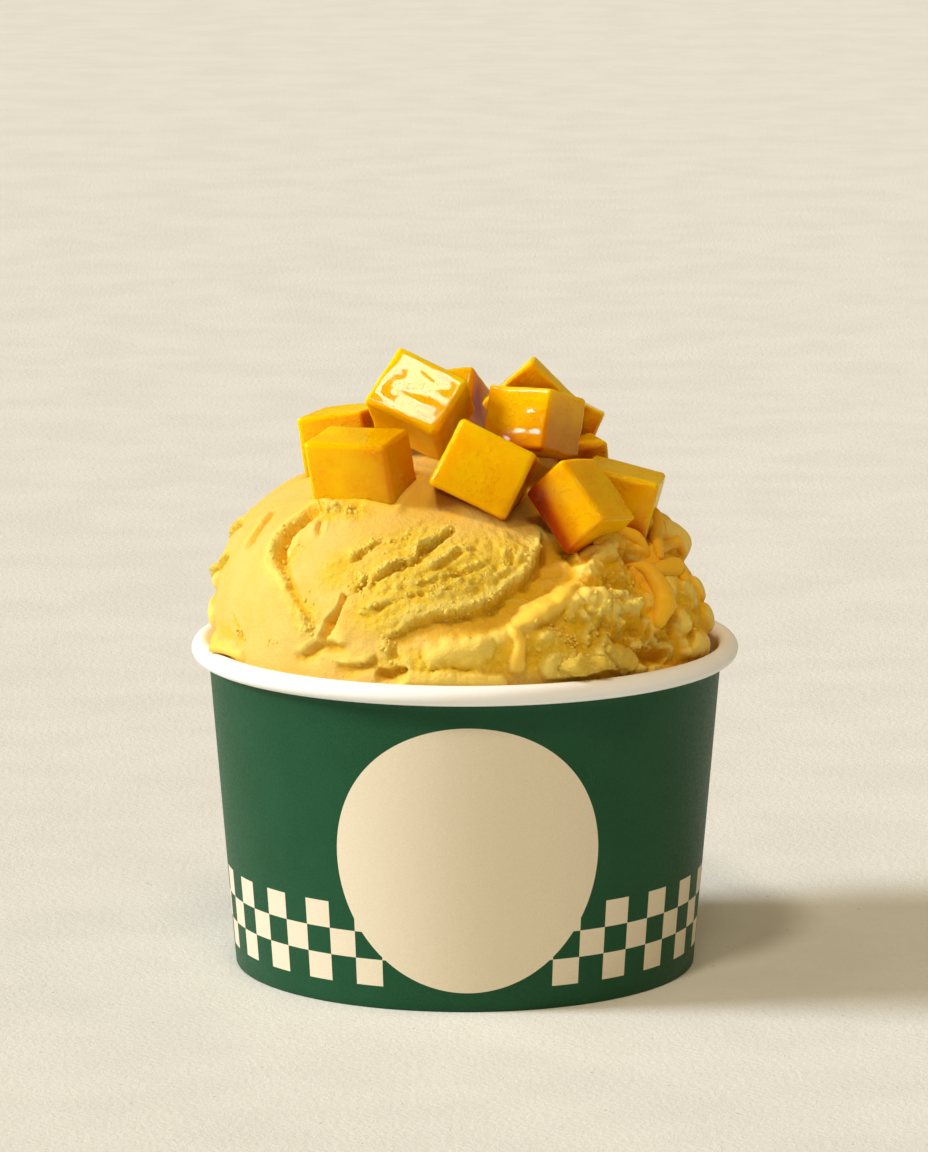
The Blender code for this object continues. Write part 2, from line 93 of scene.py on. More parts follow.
# Centre, turn, sides, lean of x with y, of x with z and of y with z
CUBES = (
    ((-7.7, -1.9, 99.3), (-37, 21, -23), (14.4, 12.3, 12.1), (0, 0, 0)),
    ((-1.5, 21.6, 93.8), (-34, -8, -19), (10.2, 12.9, 12.7), (0, 0, 0)),
    ((-17.9, -14.7, 90.5), (7, -1, -21), (15.2, 12.2, 11.3), (0, -0.1, 0)),
    ((-20.7, 9.9, 90.7), (1, -9, -21), (13, 13.2, 12.3), (0, 0, 0)),
    ((12, -2.4, 96.3), (-15, -2, -36), (13.4, 13.7, 11.2), (-0.13, -0.02, 0.06)),
    ((11.7, 13.8, 97.3), (-3, 44, -5), (12, 8.8, 12), (0, 0.09, 0)),
    ((17.6, 23.8, 91.2), (-8, 24, -6), (11.6, 11, 11.4), (0, 0, 0)),
    ((20.9, 10.6, 86.8), (4, -6, 20), (7.4, 8, 9.4), (0, 0, 0)),
    ((3.5, -18.8, 90.3), (-15, 25, -11), (14.7, 13, 12.8), (0, 0, 0)),
    ((19.9, -22.5, 85), (-8, -43, -26), (9.9, 11.6, 13.6), (0, 0, 0)),
    ((26.8, -3.5, 82.7), (0, 14, -7), (13.3, 13, 11.5), (0, 0, 0)),
)
# Painted shade on cubes, darker towards the end that other cubes or the mound shade: cube, direction in
# its own axes, strength
SHADED_ENDS = (
    (1, (0.6, 0, -1), 0.15), (2, (0, -1, -1), 0.6), (3, (1, 0.3, 0), 0.6), (4, (0, 0, -1), 0.4),
    (5, (0.5, 0, -1), 0.6), (9, (0.3, 0, -1), 0.25), (10, (-1, 0, 0.2), 1.3), (10, (0, 0, 0), 0.7),
    (11, (-1, 0, -0.5), 0.5),
)
# How much of the painted shade from neighbouring cubes shows on each cube: less on the cube on top
SHADE_SHARE = {1: 0.35}
CUBE_GRID = 26
CUBE_SEED = 100
EDGE_RADIUS = 0.85
EDGE_WEAR = 0.45
DISH_DEPTH = 0.12

# Folds of the scooped gelato: route, high, high_reach, low, low_reach, edge, ragged. A route is
# (azimuth, height) pairs; its left-hand side stands high, its right-hand side is hollowed.
# Several values run evenly along the route. "edge" is the width of the step between the sides.
FOLDS = (
    (((-36, 64), (-38, 67), (-44, 71), (-49, 74), (-54, 75.7), (-58, 78), (-59, 80), (-58, 82.4),
     (-54, 83.7), (-49, 84.2)), (0.7, 0.9, 1), 2.6, (1, 1.2, 1.8, 3.2, 3, 1.6),
     (0.8, 0.8, 1.3, 2.6, 2.6, 1.8), 0.3, 0.45),
    (((-32, 76.8), (-30, 78.2), (-28, 79.2), (-25, 80.6)), 0.5, 1.4, 1.8, (0.6, 1, 0.7), 0.2, 1),
    (((-25, 79.6), (-20, 80.3), (-17, 80.9)), 0.3, 1.4, 0.9, 0.7, 0.2, 0.8),
    (((-24.5, 72.4), (-23, 74.4), (-20, 76.3), (-17, 77), (-13.5, 77.6), (-12, 79.4), (-9, 80.8),
     (-3, 82)), 0.7, 1.4, (1, 1.9, 2, 2, 1.4), (0.6, 0.9, 1, 1.3, 0.9), 0.2, 1),
    (((-29, 71), (-27.5, 72.3), (-26, 74), (-26, 76)), 0.5, 1.3, 1.7, (0.6, 0.9, 0.6), 0.2, 1),
    (((-11, 76), (-6, 77.7), (-2, 78.6), (4, 79.4)), 0.6, 1.3, 1.3, 0.9, 0.2, 1),
    (((-17, 73), (-9, 74.8), (0, 76), (9, 78)), 0.45, 1.2, 0.8, 0.7, 0.22, 0.9),
    (((-24, 69), (-19, 71), (-12, 72.4), (-2, 73.6)), 0.4, 1.1, 0.7, 0.6, 0.22, 0.9),
    (((-19, 65), (-13, 67.6), (-6, 69.1), (-1, 69.7), (4, 70.8), (9, 72.3), (16, 74.6), (21, 76.8),
     (26, 78.7), (31, 80.5)), (0.9, 1.2, 1), (1.1, 1.3, 1.6), (1.4, 2, 2.6, 3.4, 4.2),
     (2.4, 3.6, 4.4, 5.4, 7), 0.22, 0.5),
    (((47, 78), (38, 75.4), (31, 73.6), (26, 71.9), (22, 70.7), (17, 69.5), (12, 68.2), (8, 66.8),
     (3, 65.7), (-2, 65.3), (-8, 62.8), (-15, 62.7)), (2.4, 2.2, 1.9, 1.5, 0.9),
     (8, 7, 5, 4, 3), 0.6, 1.6, 0.6, 0.3),
    (((-71, 75.2), (-72, 77.6), (-74, 79.6), (-81, 82)), 0.6, 1.8, 1.4, 1.3, 0.3, 0.2),
    (((-60, 60), (-62, 62), (-68, 65)), 0.3, 1.2, 0.8, 0.8, 0.25, 0.4),
    (((-44, 79.4), (-47, 81), (-49.5, 82.2), (-49, 83.3)), 0.4, 1.6, 0.9, 0.9, 0.3, 0),
    (((-42, 60.2), (-38, 62), (-35, 63.2), (-31, 63.6), (-26, 63.2)), 0.7, 2, 1.7, 1.7, 0.3, 0.3),
    (((-31, 59.8), (-26, 60.2), (-23, 61.2), (-20, 63)), 0.9, 1.5, 1.4, 1.6, 0.25, 0.3),
    (((-16, 61), (-17.5, 63.4), (-18, 66)), 0.5, 1.5, 1.2, 1.1, 0.25, 0.5),
    (((25, 61), (25, 63.6), (22, 65.9), (18, 66.4), (15, 64.7)), 1.1, 2.6, 0.8, 1.1, 0.3, 0.6),
    (((74, 62), (70, 65.5), (70, 69)), 0.4, 2, 0.7, 1.3, 0.5, 0),
    (((80, 61.5), (82, 65), (85, 68)), 0.4, 2, 0.8, 1.3, 0.5, 0),
)
# Lobes stand proud along a route and pits sink, with a rounded section: route, radius, height, wet.
LOBES = (
    (((27, 72.2), (22, 70.7), (17, 69.5), (13, 68.3)), (1.4, 2.3, 2.5, 1.5), (0.8, 1.9, 2.1, 0.9), 0.9),
    (((10.5, 67.8), (12, 65.6), (12.6, 63.6), (11.6, 61.2)), (0.9, 1.1, 1.2, 1.7), (0.8, 1.1, 1.1, 1.3),
     0.9),
    (((54, 74), (55, 71.2), (54, 68.6), (52, 66.3), (50, 65)), (1.2, 1.5, 2, 1.8),
     (0.8, 1, 1.2, 1), 0.9),
    (((62, 77.6), (69, 76.4), (67, 75)), 1.6, 0.9, 0.7),
    (((92, 77), (79, 74.7), (70, 73.2)), 1.5, 0.9, 0.7),
    (((80, 79), (92, 76.5), (100, 73)), 3.6, 3.8, 0.4),
    (((62, 73), (73, 71.3), (66, 69.5)), 1.6, 0.9, 0.6),
    (((42, 76), (51, 76.6)), 3, 2.6, 0.4),
    (((20, 60.5), (28, 61)), 2.4, 1.6, 0),
    (((32, 61.8), (39, 59.6)), 2.6, 2.4, 0),
    (((33, 69.5), (41, 68)), 3.4, 1.6, 0),
    (((36, 73.5), (44, 72)), 3, 1.4, 0),
    (((-6, 63), (3, 63.8)), 2.6, 1, 0.2),
    (((-13, 57.8), (-3, 58.4), (7, 57.6)), 2.2, 1.6, 0.2),
    (((88, 67), (87, 66)), 2.2, 1.5, 0.2),
    (((82, 62.5), (90, 61)), 2.4, 1.6, 0.2),
    (((66, 59.4), (76, 58.6)), 2.4, 1.3, 0.2),
    (((-78, 58.6), (-70, 58.2), (-61, 58.2)), (1.5, 2.8, 1.5), (2, 5.4, 2), 0.6),
    (((-88, 69), (-96, 68.5)), 2, 1.1, 0),
    (((-86, 62), (-98, 62)), 2.2, 1.2, 0),
    (((-68, 85.5), (-72, 86.5)), 2.2, 1.2, 0),
    (((-29.5, 71.5), (-31, 68.6), (-32, 67), (-33.5, 64.4)), (0.7, 0.8, 1.2, 0.9),
     (-1.2, -1.6, -2.4, -1.4), 0),
    (((-19, 59), (-14, 59.4)), 1.3, -2.4, 0),
    (((42, 60.2), (53, 59.2)), 1.5, -3.2, 0),
    (((40, 66), (46, 64)), 1.9, -1.8, 0),
    (((50, 75), (56, 73.8)), 1.5, -2.2, 0),
    (((59, 69), (60, 65.5)), 1.4, -1.6, 0),
    (((60, 75.2), (66, 74.2)), 1.4, -1.6, 0),
)
# Soft drips and ribbons on the mound, and dry broken chunks: route, radii at even steps, wet.
DRIPS = (
    (((53, 74.2), (55, 72), (55, 69.6), (53.5, 67.3), (51, 65.3)), (0.8, 1.5, 2.0, 2.3, 1.5), 0.9),
    (((61, 77.8), (65, 77.8), (69, 76.4), (69, 74.4)), (0.9, 1.5, 1.5, 0.7), 1.0),
    (((91, 77.5), (87, 75.8), (79, 74.7), (71, 73.3)), (1.0, 1.5, 1.4, 0.7), 0.9),
    (((60, 72.2), (66, 71.9), (72, 71.0), (72, 69.6)), (0.8, 1.5, 1.9, 1.2), 0.8),
    (((77, 74.3), (86, 73.9), (93, 73.0), (95, 71.4)), (0.8, 1.2, 1.3, 0.8), 0.7),
    (((42, 76.4), (47, 77.3), (52, 76.1)), (1.2, 2.3, 1.3), 0.5),
    (((21.5, 60.4), (25, 60.5), (29, 60.6)), (1.1, 1.9, 1.5), 0.0),
    (((32, 62.2), (35, 61.2), (39, 60.0)), (1.1, 1.8, 1.5), 0.0),
)
BACK_FOLDS = 9
BACK_START = 104
BACK_STEP = 18
BACK_SWEEP = 44
BACK_LOW, BACK_HIGH = 61.0, 80.0
BACK_SEED = 4
ROUGH_CENTRE = (48, 67)
ROUGH_SPREAD = (30, 11)
ROUGH_HEIGHT = 0.6
ROUGH_SIZE = 4.6
# Painted shade on the right-hand side, away from the key light: its middle azimuth and spread
SHADED_SIDE_AZIMUTH = 75
SHADED_SIDE_SPREAD = 45
UNEVEN_HEIGHT = 0.35
UNEVEN_SIZE = 11.0
NOISE_SEED = 11
# Clumps of crumbly gelato and of the broken right-hand side: size, height
LUMPS = ((3.4, 1.5), (1.8, 0.95), (1.0, 0.5))
LUMPS_MEAN = 0.75
BOULDERS = ((8.0, 3.4), (4.2, 2.2), (2.2, 1.3), (1.1, 0.6))
BOULDERS_MEAN = 1.9
ROW_SLOPE = 0.24
MIN_TORN = 0.4
DRY = 0.2
CRUMB_SEED = 23
DRIP_SEED = 29
# Columns of the mound's mesh: azimuth from and to, and the step
COLUMN_RUNS = ((-100, -62, 0.6), (-61.6, 62, 0.34), (62.4, 104, 0.6), (104.5, 259.6, 1.4))
CUBES_REACH = 18.0
RING_STEP = 0.36

# Where the gelato crumbles: azimuth, height, spread of each, strength
CRUMBLES = (
    (-50, 84, 9, 1.6, 1), (-40, 84, 5, 1.3, 0.8), (-50, 76, 3, 2.6, 0.5), (-39, 68, 4, 3.5, 0.5),
    (-22, 74.5, 10, 3.5, 0.6), (0, 75.5, 20, 4.2, 0.25), (-12, 79.5, 9, 2, 0.4), (31, 65.5, 11, 5, 1),
    (24, 71, 5, 2, 0.5), (41, 71, 9, 5.5, 1), (25, 61, 8, 1.8, 0.9), (38, 61, 9, 2.4, 0.9),
    (66, 68, 9, 6, 0.6), (50, 62, 11, 3, 0.8), (14, 77.5, 9, 3, 0.7), (-5, 60.5, 16, 1.6, 0.5),
    (118, 66, 12, 6, 0.8), (172, 64, 14, 5, 0.9), (-140, 68, 10, 6, 0.7), (150, 78, 12, 4, 0.6),
)
# Where it is sandy with ice, in the same terms
SANDS = (
    (-2, 74.5, 22, 5.5, 1), (-14, 79.5, 12, 3, 0.6), (-18, 69.5, 9, 3.5, 0.8), (15, 63, 18, 3.5, 0.7),
    (-10, 61, 14, 2.5, 0.6), (70, 66, 18, 7, 0.6), (-33, 75.5, 5, 3, 0.7), (130, 72, 26, 8, 0.7),
    (-165, 73, 26, 8, 0.8), (-115, 74, 14, 6, 0.5),
)
# Juice that has run off the fruit: azimuth, height, spread of each, strength
POOLS = (
    (-20, 85.6, 16, 1.7, 1), (-4, 83.6, 8, 1.2, 0.8), (52, 69, 4, 6, 0.6), (72, 77, 12, 3, 0.7),
    (18, 68.8, 5, 1.2, 0.8), (10, 64, 2, 3.5, 0.8), (-58, 86, 6, 1, 0.5),
)
# Loose crumbs: azimuth, height, spread of each, how many, smallest and largest size
CRUMBS = (
    (-50, 84.3, 6, 1, 24, 0.5, 1.6), (-40, 84.1, 4, 0.8, 14, 0.5, 1.4),
    (-50, 76.5, 2, 2.5, 8, 0.3, 0.8), (-39, 68.5, 2, 3.5, 8, 0.3, 0.8), (32, 66, 9, 4.5, 40, 0.3, 1.3),
    (42, 71, 8, 4.5, 26, 0.3, 1.3), (25, 61.2, 5, 1, 10, 0.5, 1.4), (38, 61, 7, 1.5, 18, 0.4, 1.4),
    (24, 64, 4, 2, 8, 0.4, 1), (-48, 61.5, 3, 1, 5, 0.5, 1), (60, 66, 9, 5, 14, 0.4, 1.2),
    (14, 77, 8, 2, 10, 0.3, 0.8), (-20, 76.5, 6, 2.5, 8, 0.3, 0.7), (50, 61.5, 7, 1.5, 12, 0.4, 1.3),
    (0, 74, 14, 3, 20, 0.3, 0.6),
)

# Soft distant lights: direction seen from the cup, width in degrees, power, colour
SUNS = (
    ("key_left", (-0.86, -0.09, 0.51), 18.0, 3.25, (0.92, 0.95, 1.0)),
    ("overhead", (-0.20, -0.49, 0.85), 8.0, 0.85, (1.0, 0.86, 0.66)),
    ("overhead_right", (0.06, -0.50, 0.86), 14.0, 0.5, (1.0, 0.80, 0.50)),
)
ROOM_COLOUR = (1.0, 0.79, 0.50, 1.0)
ROOM_STRENGTH = 0.27
FLOOR_REACH = 9000
PHOTO_HEIGHT = 1152
FOCAL_PIXELS = 6516.7
SENSOR_HEIGHT = 36
CAMERA_PLACE = (-0.164, -1125.655, 271.178)
CAMERA_PITCH = 0.178


def noise(points, size, seed):
    """Smooth noise between -1 and 1, with features of about the given size."""
    grid = points / size + seed * 17.3
    cell = np.floor(grid).astype(np.int64)
    part = grid - cell
    blend = part * part * (3.0 - 2.0 * part)
    total = np.zeros(len(points))
    for corner in range(8):
        offset = np.array([corner & 1, corner >> 1 & 1, corner >> 2 & 1])
        key = (cell + offset) @ np.array([73856093, 19349663, 83492791]) + seed * 2654435
        key = (key ^ key >> 13) * 1274126177 & 0x7FFFFFFF
        value = (key ^ key >> 16) % 65536 / 32767.5 - 1.0
        weight = np.prod(np.where(offset == 1, blend, 1.0 - blend), axis=1)
        total += value * weight
    return total


def billow(points, clumps, seed):
    """Bulging clumps with sharp creases between them, at several sizes."""
    return sum(height * np.abs(noise(points, size, seed + number))
               for number, (size, height) in enumerate(clumps))


def wall_radius(height):
    roll_foot = CUP_HEIGHT - 2 * ROLL_RADIUS
    return FOOT_RADIUS + (WALL_TOP_RADIUS - FOOT_RADIUS) * height / roll_foot


def mound_shape(azimuth, across):
    widest = MOUND_WIDEST - LEFT_SIDE_LIFT * across / MOUND_RADIUS
    fullness = FULLNESS - FULLNESS_TILT * across / MOUND_RADIUS
    fullness = fullness + FULLNESS_BACK * np.maximum(-np.cos(np.radians(azimuth)), 0.0)
    return widest, fullness


def crown_rise(x, y):
    rise = 0.0
    for across, back, height, reach in CROWNS:
        rise = rise + height * np.exp(-((x - across) ** 2 + (y - back) ** 2) / reach ** 2)
    return rise


def mound_point(azimuth, climb):
    """Points of the plain mound: azimuth round it, climb from 0 at its widest to 90 at the top."""
    turn, rise = np.radians(azimuth), np.radians(climb)
    radius = MOUND_RADIUS - LEFT_SIDE_SPREAD * np.sin(turn)
    across = radius * np.cos(rise) * np.sin(turn)
    widest, fullness = mound_shape(azimuth, across)
    out = radius * np.maximum(np.cos(rise), 0.0) ** (2.0 / fullness)
    x = out * np.sin(turn)
    y = -out * np.cos(turn)
    top = MOUND_TOP - TOP_TILT * x + crown_rise(x, y)
    height = widest + (top - widest) * np.sin(rise) ** (2.0 / fullness)
    return np.stack([x, y, height], axis=-1)


def climb_at(azimuth, height):
    climbs = np.linspace(0.0, 90.0, 361)
    heights = mound_point(np.full_like(climbs, azimuth), climbs)[:, 2]
    return float(np.interp(height, heights, climbs))


def route_on_mound(route, pieces=5):
    """A smooth run of points on the mound through (azimuth, height) pairs."""
    knots = np.array(route, dtype=float)
    padded = np.vstack([2 * knots[0] - knots[1], knots, 2 * knots[-1] - knots[-2]])
    run = []
    for i in range(len(knots) - 1):
        before, start, end, after = padded[i:i + 4]
        for t in np.arange(pieces) / pieces:
            run.append(0.5 * (2 * start + (end - before) * t
                              + (2 * before - 5 * start + 4 * end - after) * t ** 2
                              + (3 * start - before - 3 * end + after) * t ** 3))
    run.append(knots[-1])
    points = []
    for azimuth, height in run:
        across = MOUND_RADIUS * math.sin(math.radians(azimuth))
        low = height < mound_shape(azimuth, across)[0]
        climb = 0.0 if low else climb_at(azimuth, height)
        point = mound_point(np.array([azimuth]), np.array([climb]))[0]
        if low:
            point[2] = height
        points.append(point)
    return np.array(points)


def distance_to_route(points, normals, route):
    """Distance to a route, positive on its left-hand side, and how far along the route."""
    best = np.full(len(points), 1e9)
    side = np.ones(len(points))
    along = np.zeros(len(points))
    lengths = np.linalg.norm(np.diff(route, axis=0), axis=1)
    starts = np.append(0.0, np.cumsum(lengths))
    for i, length in enumerate(lengths):
        direction = (route[i + 1] - route[i]) / length
        offset = points - route[i]
        reach = np.clip(offset @ direction, 0.0, length)
        away = offset - reach[:, None] * direction
        distance = np.linalg.norm(away, axis=1)
        nearer = distance < best
        left = np.einsum("ij,ij->i", np.cross(normals, direction), away)
        best = np.where(nearer, distance, best)
        side = np.where(nearer, np.sign(left + 1e-12), side)
        along = np.where(nearer, starts[i] + reach, along)
    return best, side, along, starts[-1]


def back_folds():
    """Sweeping folds round the unseen side, each starting lower than it ends."""
    draw = np.random.default_rng(BACK_SEED)
    folds = []
    for i in range(BACK_FOLDS):
        start = BACK_START + i * BACK_STEP + draw.uniform(-7, 7)
        climb = np.linspace(draw.uniform(0.0, 0.25), draw.uniform(0.65, 1.0), 6)
        azimuths = start + BACK_SWEEP * climb ** draw.uniform(1.1, 1.9)
        heights = BACK_LOW + (BACK_HIGH - BACK_LOW) * climb + draw.uniform(-1.5, 1.5)
        low = draw.uniform(0.8, 2.2)
        folds.append((tuple(zip(azimuths, heights)), draw.uniform(0.5, 1.1), draw.uniform(1.2, 3.5),
                      (0.5 * low, low, 0.7 * low), (0.8, draw.uniform(1.2, 3.0), 1.0), 0.25, 0.9))
    return folds


def along_route(values, share):
    """A value that changes evenly along a route, from one number or several."""
    values = np.atleast_1d(values)
    return np.interp(share, np.linspace(0.0, 1.0, len(values)), values)


def roughness_at(azimuth, height):
    """How much the right-hand side is broken up."""
    across = (azimuth - ROUGH_CENTRE[0]) / ROUGH_SPREAD[0]
    up = (height - ROUGH_CENTRE[1]) / ROUGH_SPREAD[1]
    return np.exp(-(across ** 2 + up ** 2) ** 2)


def dense_at(azimuth):
    """Painted shade: a deeper, more saturated yellow on the right-hand side, which faces away from the
    key light.
    """
    away = np.abs((azimuth - SHADED_SIDE_AZIMUTH + 180.0) % 360.0 - 180.0)
    share = np.clip(1.5 - away / SHADED_SIDE_SPREAD, 0.0, 1.0)
    return share * share * (3.0 - 2.0 * share)


def azimuth_at(points):
    """Azimuth of each point round the cup's axis."""
    return np.degrees(np.arctan2(points[:, 0], -points[:, 1]))


def patches(azimuth, height, areas):
    """The strongest of several soft-edged areas at each point."""
    total = np.zeros(len(azimuth))
    for at, level, wide, tall, strength in areas:
        turned = (azimuth - at + 180.0) % 360.0 - 180.0
        away = (turned / wide) ** 2 + ((height - level) / tall) ** 2
        total = np.maximum(total, strength * np.exp(-away))
    return total


class Relief:
    """Height of the gelato over the plain mound, and where it is crumbly, wet or hollow."""

    def __init__(self, points, normals):
        azimuth, level = azimuth_at(points), points[:, 2]
        broad, ragged, streaks, lobes, pits, glossy = np.zeros((6, len(points)))
        warp = 0.5 * np.stack([noise(points, 3.4, seed) for seed in (31, 32, 33)], axis=1)
        warp += 0.32 * np.stack([noise(points, 1.2, seed) for seed in (34, 35, 36)], axis=1)
        bent = points + warp
        broken = 0.5 + 0.5 * noise(points, 3.0, 51)
        for number, (route, *sizes, edge, torn) in enumerate(FOLDS + tuple(back_folds())):
            distance, side, along, length = distance_to_route(bent, normals, route_on_mound(route))
            signed = distance * side
            step = 1.0 / (1.0 + np.exp(-np.clip(signed / edge, -40, 40)))
            share = along / length
            high, high_reach, low, low_reach = (along_route(size, share) for size in sizes)
            fade = np.clip(np.minimum(share, 1.0 - share) * length / 2.5, 0.0, 1.0)
            fade = fade * fade * (3.0 - 2.0 * fade)
            ends = np.exp(-np.maximum(distance - low_reach, 0.0) / low_reach)
            raised = high * step * np.exp(-np.maximum(signed, 0.0) / high_reach)
            hollow = np.exp(-(np.minimum(signed, 0.0) / low_reach) ** 2)
            uneven = 1.0 + 1.3 * torn * (broken - 0.5)
            broad += (raised - low * uneven * (1.0 - step) * hollow * ends) * fade
            ragged = np.maximum(ragged, torn * np.exp(-(signed / 1.3) ** 2) * fade)
            lines = np.stack([signed / 0.55, along / 9.0, np.full(len(points), number * 5.0)], axis=1)
            near = np.exp(-(distance / 5.5) ** 2) * np.sqrt(fade)
            streaks += noise(lines, 1.0, 40 + number) * near
        for route, radius, rise, wetness in LOBES:
            distance, side, along, length = distance_to_route(bent, normals, route_on_mound(route))
            inside = np.clip(1.0 - (distance / along_route(radius, along / length)) ** 2, 0.0, 1.0)
            lump = along_route(rise, along / length) * inside ** 0.6
            lobes = np.maximum(lobes, lump)
            pits = np.minimum(pits, lump)
            glossy = np.maximum(glossy, wetness * np.sqrt(inside))
        rough = roughness_at(azimuth, level)
        broad += lobes + pits
        broad += rough * ROUGH_HEIGHT * noise(points, ROUGH_SIZE, NOISE_SEED)
        broad += UNEVEN_HEIGHT * noise(points, UNEVEN_SIZE, NOISE_SEED + 1)

        crumbly = patches(azimuth, level, CRUMBLES) * (0.45 + 0.8 * broken)
        crumbly = np.maximum(crumbly, ragged * (0.35 + 0.9 * broken))
        crumbly = np.clip(crumbly * (1.0 - glossy), 0.0, 1.0)
        wet = np.maximum(patches(azimuth, level, POOLS), glossy)
        lumps = billow(bent, LUMPS, 60) - LUMPS_MEAN
        fine = crumbly * (lumps + 0.42 * noise(points, 0.85, 52))
        boulders = billow(bent, BOULDERS, 65) - BOULDERS_MEAN
        fine += rough * (1.0 - glossy) * boulders
        sandy = patches(azimuth, level, SANDS) * (1.0 - glossy)
        row = level - ROW_SLOPE * azimuth
        sweep = np.stack([azimuth / 14.0, row / 1.5, points[:, 1] / 9.0], axis=1)
        drawn = 1.0 - 2.0 * np.abs(noise(sweep + warp * 0.4, 1.0, 55))
        grit = np.stack([azimuth / 2.2, row, points[:, 1] / 2.0], axis=1)
        # the rows don't meet where the azimuth turns over, so they fade out there
        off_seam = np.clip((180.0 - np.abs(azimuth)) / 15.0, 0.0, 1.0)
        fine += sandy * off_seam * (0.22 * drawn + 0.34 * noise(grit, 1.0, 56))
        fine += sandy * 0.24 * noise(points, 0.8, 57)
        fine += 0.12 * streaks * (1.0 - crumbly) * (1.0 - 0.6 * wet)
        fine += 0.05 * noise(points, 1.7, 53) + 0.12 * noise(points, 4.0, 54)
        self.height = broad + fine * (1.0 - 0.7 * wet)
        self.crumbly = np.maximum(crumbly, 0.9 * sandy)
        self.wet = np.clip(wet, 0.0, 1.0)
        # painted shade: deeper yellow on the right-hand side
        self.dense = dense_at(azimuth)


def cube_frames():
    """Each cube's centre, turn and half sides."""
    frames = []
    for centre, rotation, sides, lean in CUBES:
        turn = Euler([math.radians(angle) for angle in rotation]).to_matrix()
        slant = Matrix(((1, lean[0], lean[1]), (0, 1, lean[2]), (0, 0, 1)))
        frames.append((np.array(centre), np.array(turn @ slant), np.array(sides) / 2))
    return frames


def distance_to_cubes(points, leave_out=None):
    """Distance from each point to the nearest cube, 0 inside it."""
    best = np.full(len(points), 1e9)
    for number, (centre, turn, half) in enumerate(cube_frames(), start=1):
        if number == leave_out:
            continue
        local = (points - centre) @ np.linalg.inv(turn).T
        outside = np.maximum(np.abs(local) - half, 0.0)
        best = np.minimum(best, np.linalg.norm(outside, axis=1))
    return best


def closed_in(points, normals, number):
    """How much of the light over each point of a cube other cubes and the mound take away."""
    total = np.zeros(len(points))
    reaches = (2.5, 5.0, 9.0)
    for reach in reaches:
        ahead = points + normals * reach
        out = np.clip(np.hypot(ahead[:, 0], ahead[:, 1]) / MOUND_RADIUS, 0.0, 0.98)
        mound = MOUND_WIDEST + (MOUND_TOP - MOUND_WIDEST) * (1.0 - out ** FULLNESS) ** (1.0 / FULLNESS)
        mound = mound + crown_rise(ahead[:, 0], ahead[:, 1])
        over_mound = np.maximum(ahead[:, 2] - mound, 0.0)
        room = np.minimum(distance_to_cubes(ahead, leave_out=number), over_mound)
        total += np.clip(1.0 - room / reach, 0.0, 1.0) / len(reaches)
    return total


def keep_inside_rim(points):
    """Hold the gelato clear of the cup's wall and of its rolled rim."""
    x, y, level = points.T
    out = np.hypot(x, y)
    centre_radius, centre_height = ROLL_CENTRE
    low = level < centre_height
    limit = np.where(low, wall_radius(level) - PAPER - WALL_CLEARANCE, 1e9)
    new_out = np.minimum(out, limit)
    from_roll = np.stack([new_out - centre_radius, level - centre_height], axis=1)
    distance = np.linalg.norm(from_roll, axis=1)
    clear = ROLL_RADIUS + ROLL_CLEARANCE
    push = np.where((distance < clear) & ~low, clear / np.maximum(distance, 1e-6), 1.0)
    new_out = centre_radius + from_roll[:, 0] * push
    height = centre_height + from_roll[:, 1] * push
    scale = new_out / np.maximum(out, 1e-6)
    return np.stack([x * scale, y * scale, height], axis=1)


def plain_normals(azimuth, climb):
    here = mound_point(azimuth, climb)
    ahead = mound_point(azimuth + 0.2, climb)
    above = mound_point(azimuth, np.minimum(climb + 0.2, 90.0))
    normals = np.cross(ahead - here, above - here)
    size = np.linalg.norm(normals, axis=1)
    upright = (0.0, 0.0, 1.0)
    return np.where(size[:, None] > 1e-7, normals / np.maximum(size, 1e-9)[:, None], upright)


def add_object(name, data):
    added = bpy.data.objects.new(name, data)
    bpy.context.scene.collection.objects.link(added)
    return added


def add_mesh(name, points, faces):
    mesh = bpy.data.meshes.new(name)
    mesh.from_pydata((np.asarray(points) * MM).tolist(), [], faces)
    mesh.shade_smooth()
    return add_object(name, mesh)


def store(piece, **values):
    """Keep numbers on a mesh's points for its material."""
    for name, numbers in values.items():
        attribute = piece.data.attributes.new(name, "FLOAT", "POINT")
        attribute.data.foreach_set("value", np.asarray(numbers, dtype=np.float32))


def store_on_mound(piece, crumbly, wet, crest):
    """The same for the bits of gelato that lie on the mound, with the painted shade of the mound's
    right-hand side there.
    """
    points = np.array([vertex.co[:] for vertex in piece.data.vertices])
    store(piece, crumbly=crumbly, wet=wet, crest=crest, dense=dense_at(azimuth_at(points)))


def turn_outwards(piece):
    """Point all faces of a closed mesh to its outside."""
    work = bmesh.new()
    work.from_mesh(piece.data)
    bmesh.ops.recalc_face_normals(work, faces=work.faces)
    work.to_mesh(piece.data)
    work.free()


def ring_faces(rings, columns):
    """Quads between neighbouring rings of a surface that closes round the axis."""
    faces = []
    for i in range(rings - 1):
        for j in range(columns):
            k = (j + 1) % columns
            here, below = i * columns, (i + 1) * columns
            faces.append((here + j, below + j, below + k, here + k))
    return faces


def crests(height):
    """How far each point of a grid of heights stands over (+) or under (-) what is round it."""
    total = np.zeros_like(height)
    for reach in (4, 10):
        mean = height.copy()
        for _ in range(2):
            rows = np.pad(mean, ((reach, reach), (0, 0)), mode="edge")
            mean = np.mean([rows[k:k + len(mean)] for k in range(2 * reach + 1)], axis=0)
            mean = np.mean([np.roll(mean, k, axis=1) for k in range(-reach, reach + 1)], axis=0)
        total += 0.9 * (height - mean)
    return np.clip(total, -1.0, 1.0)


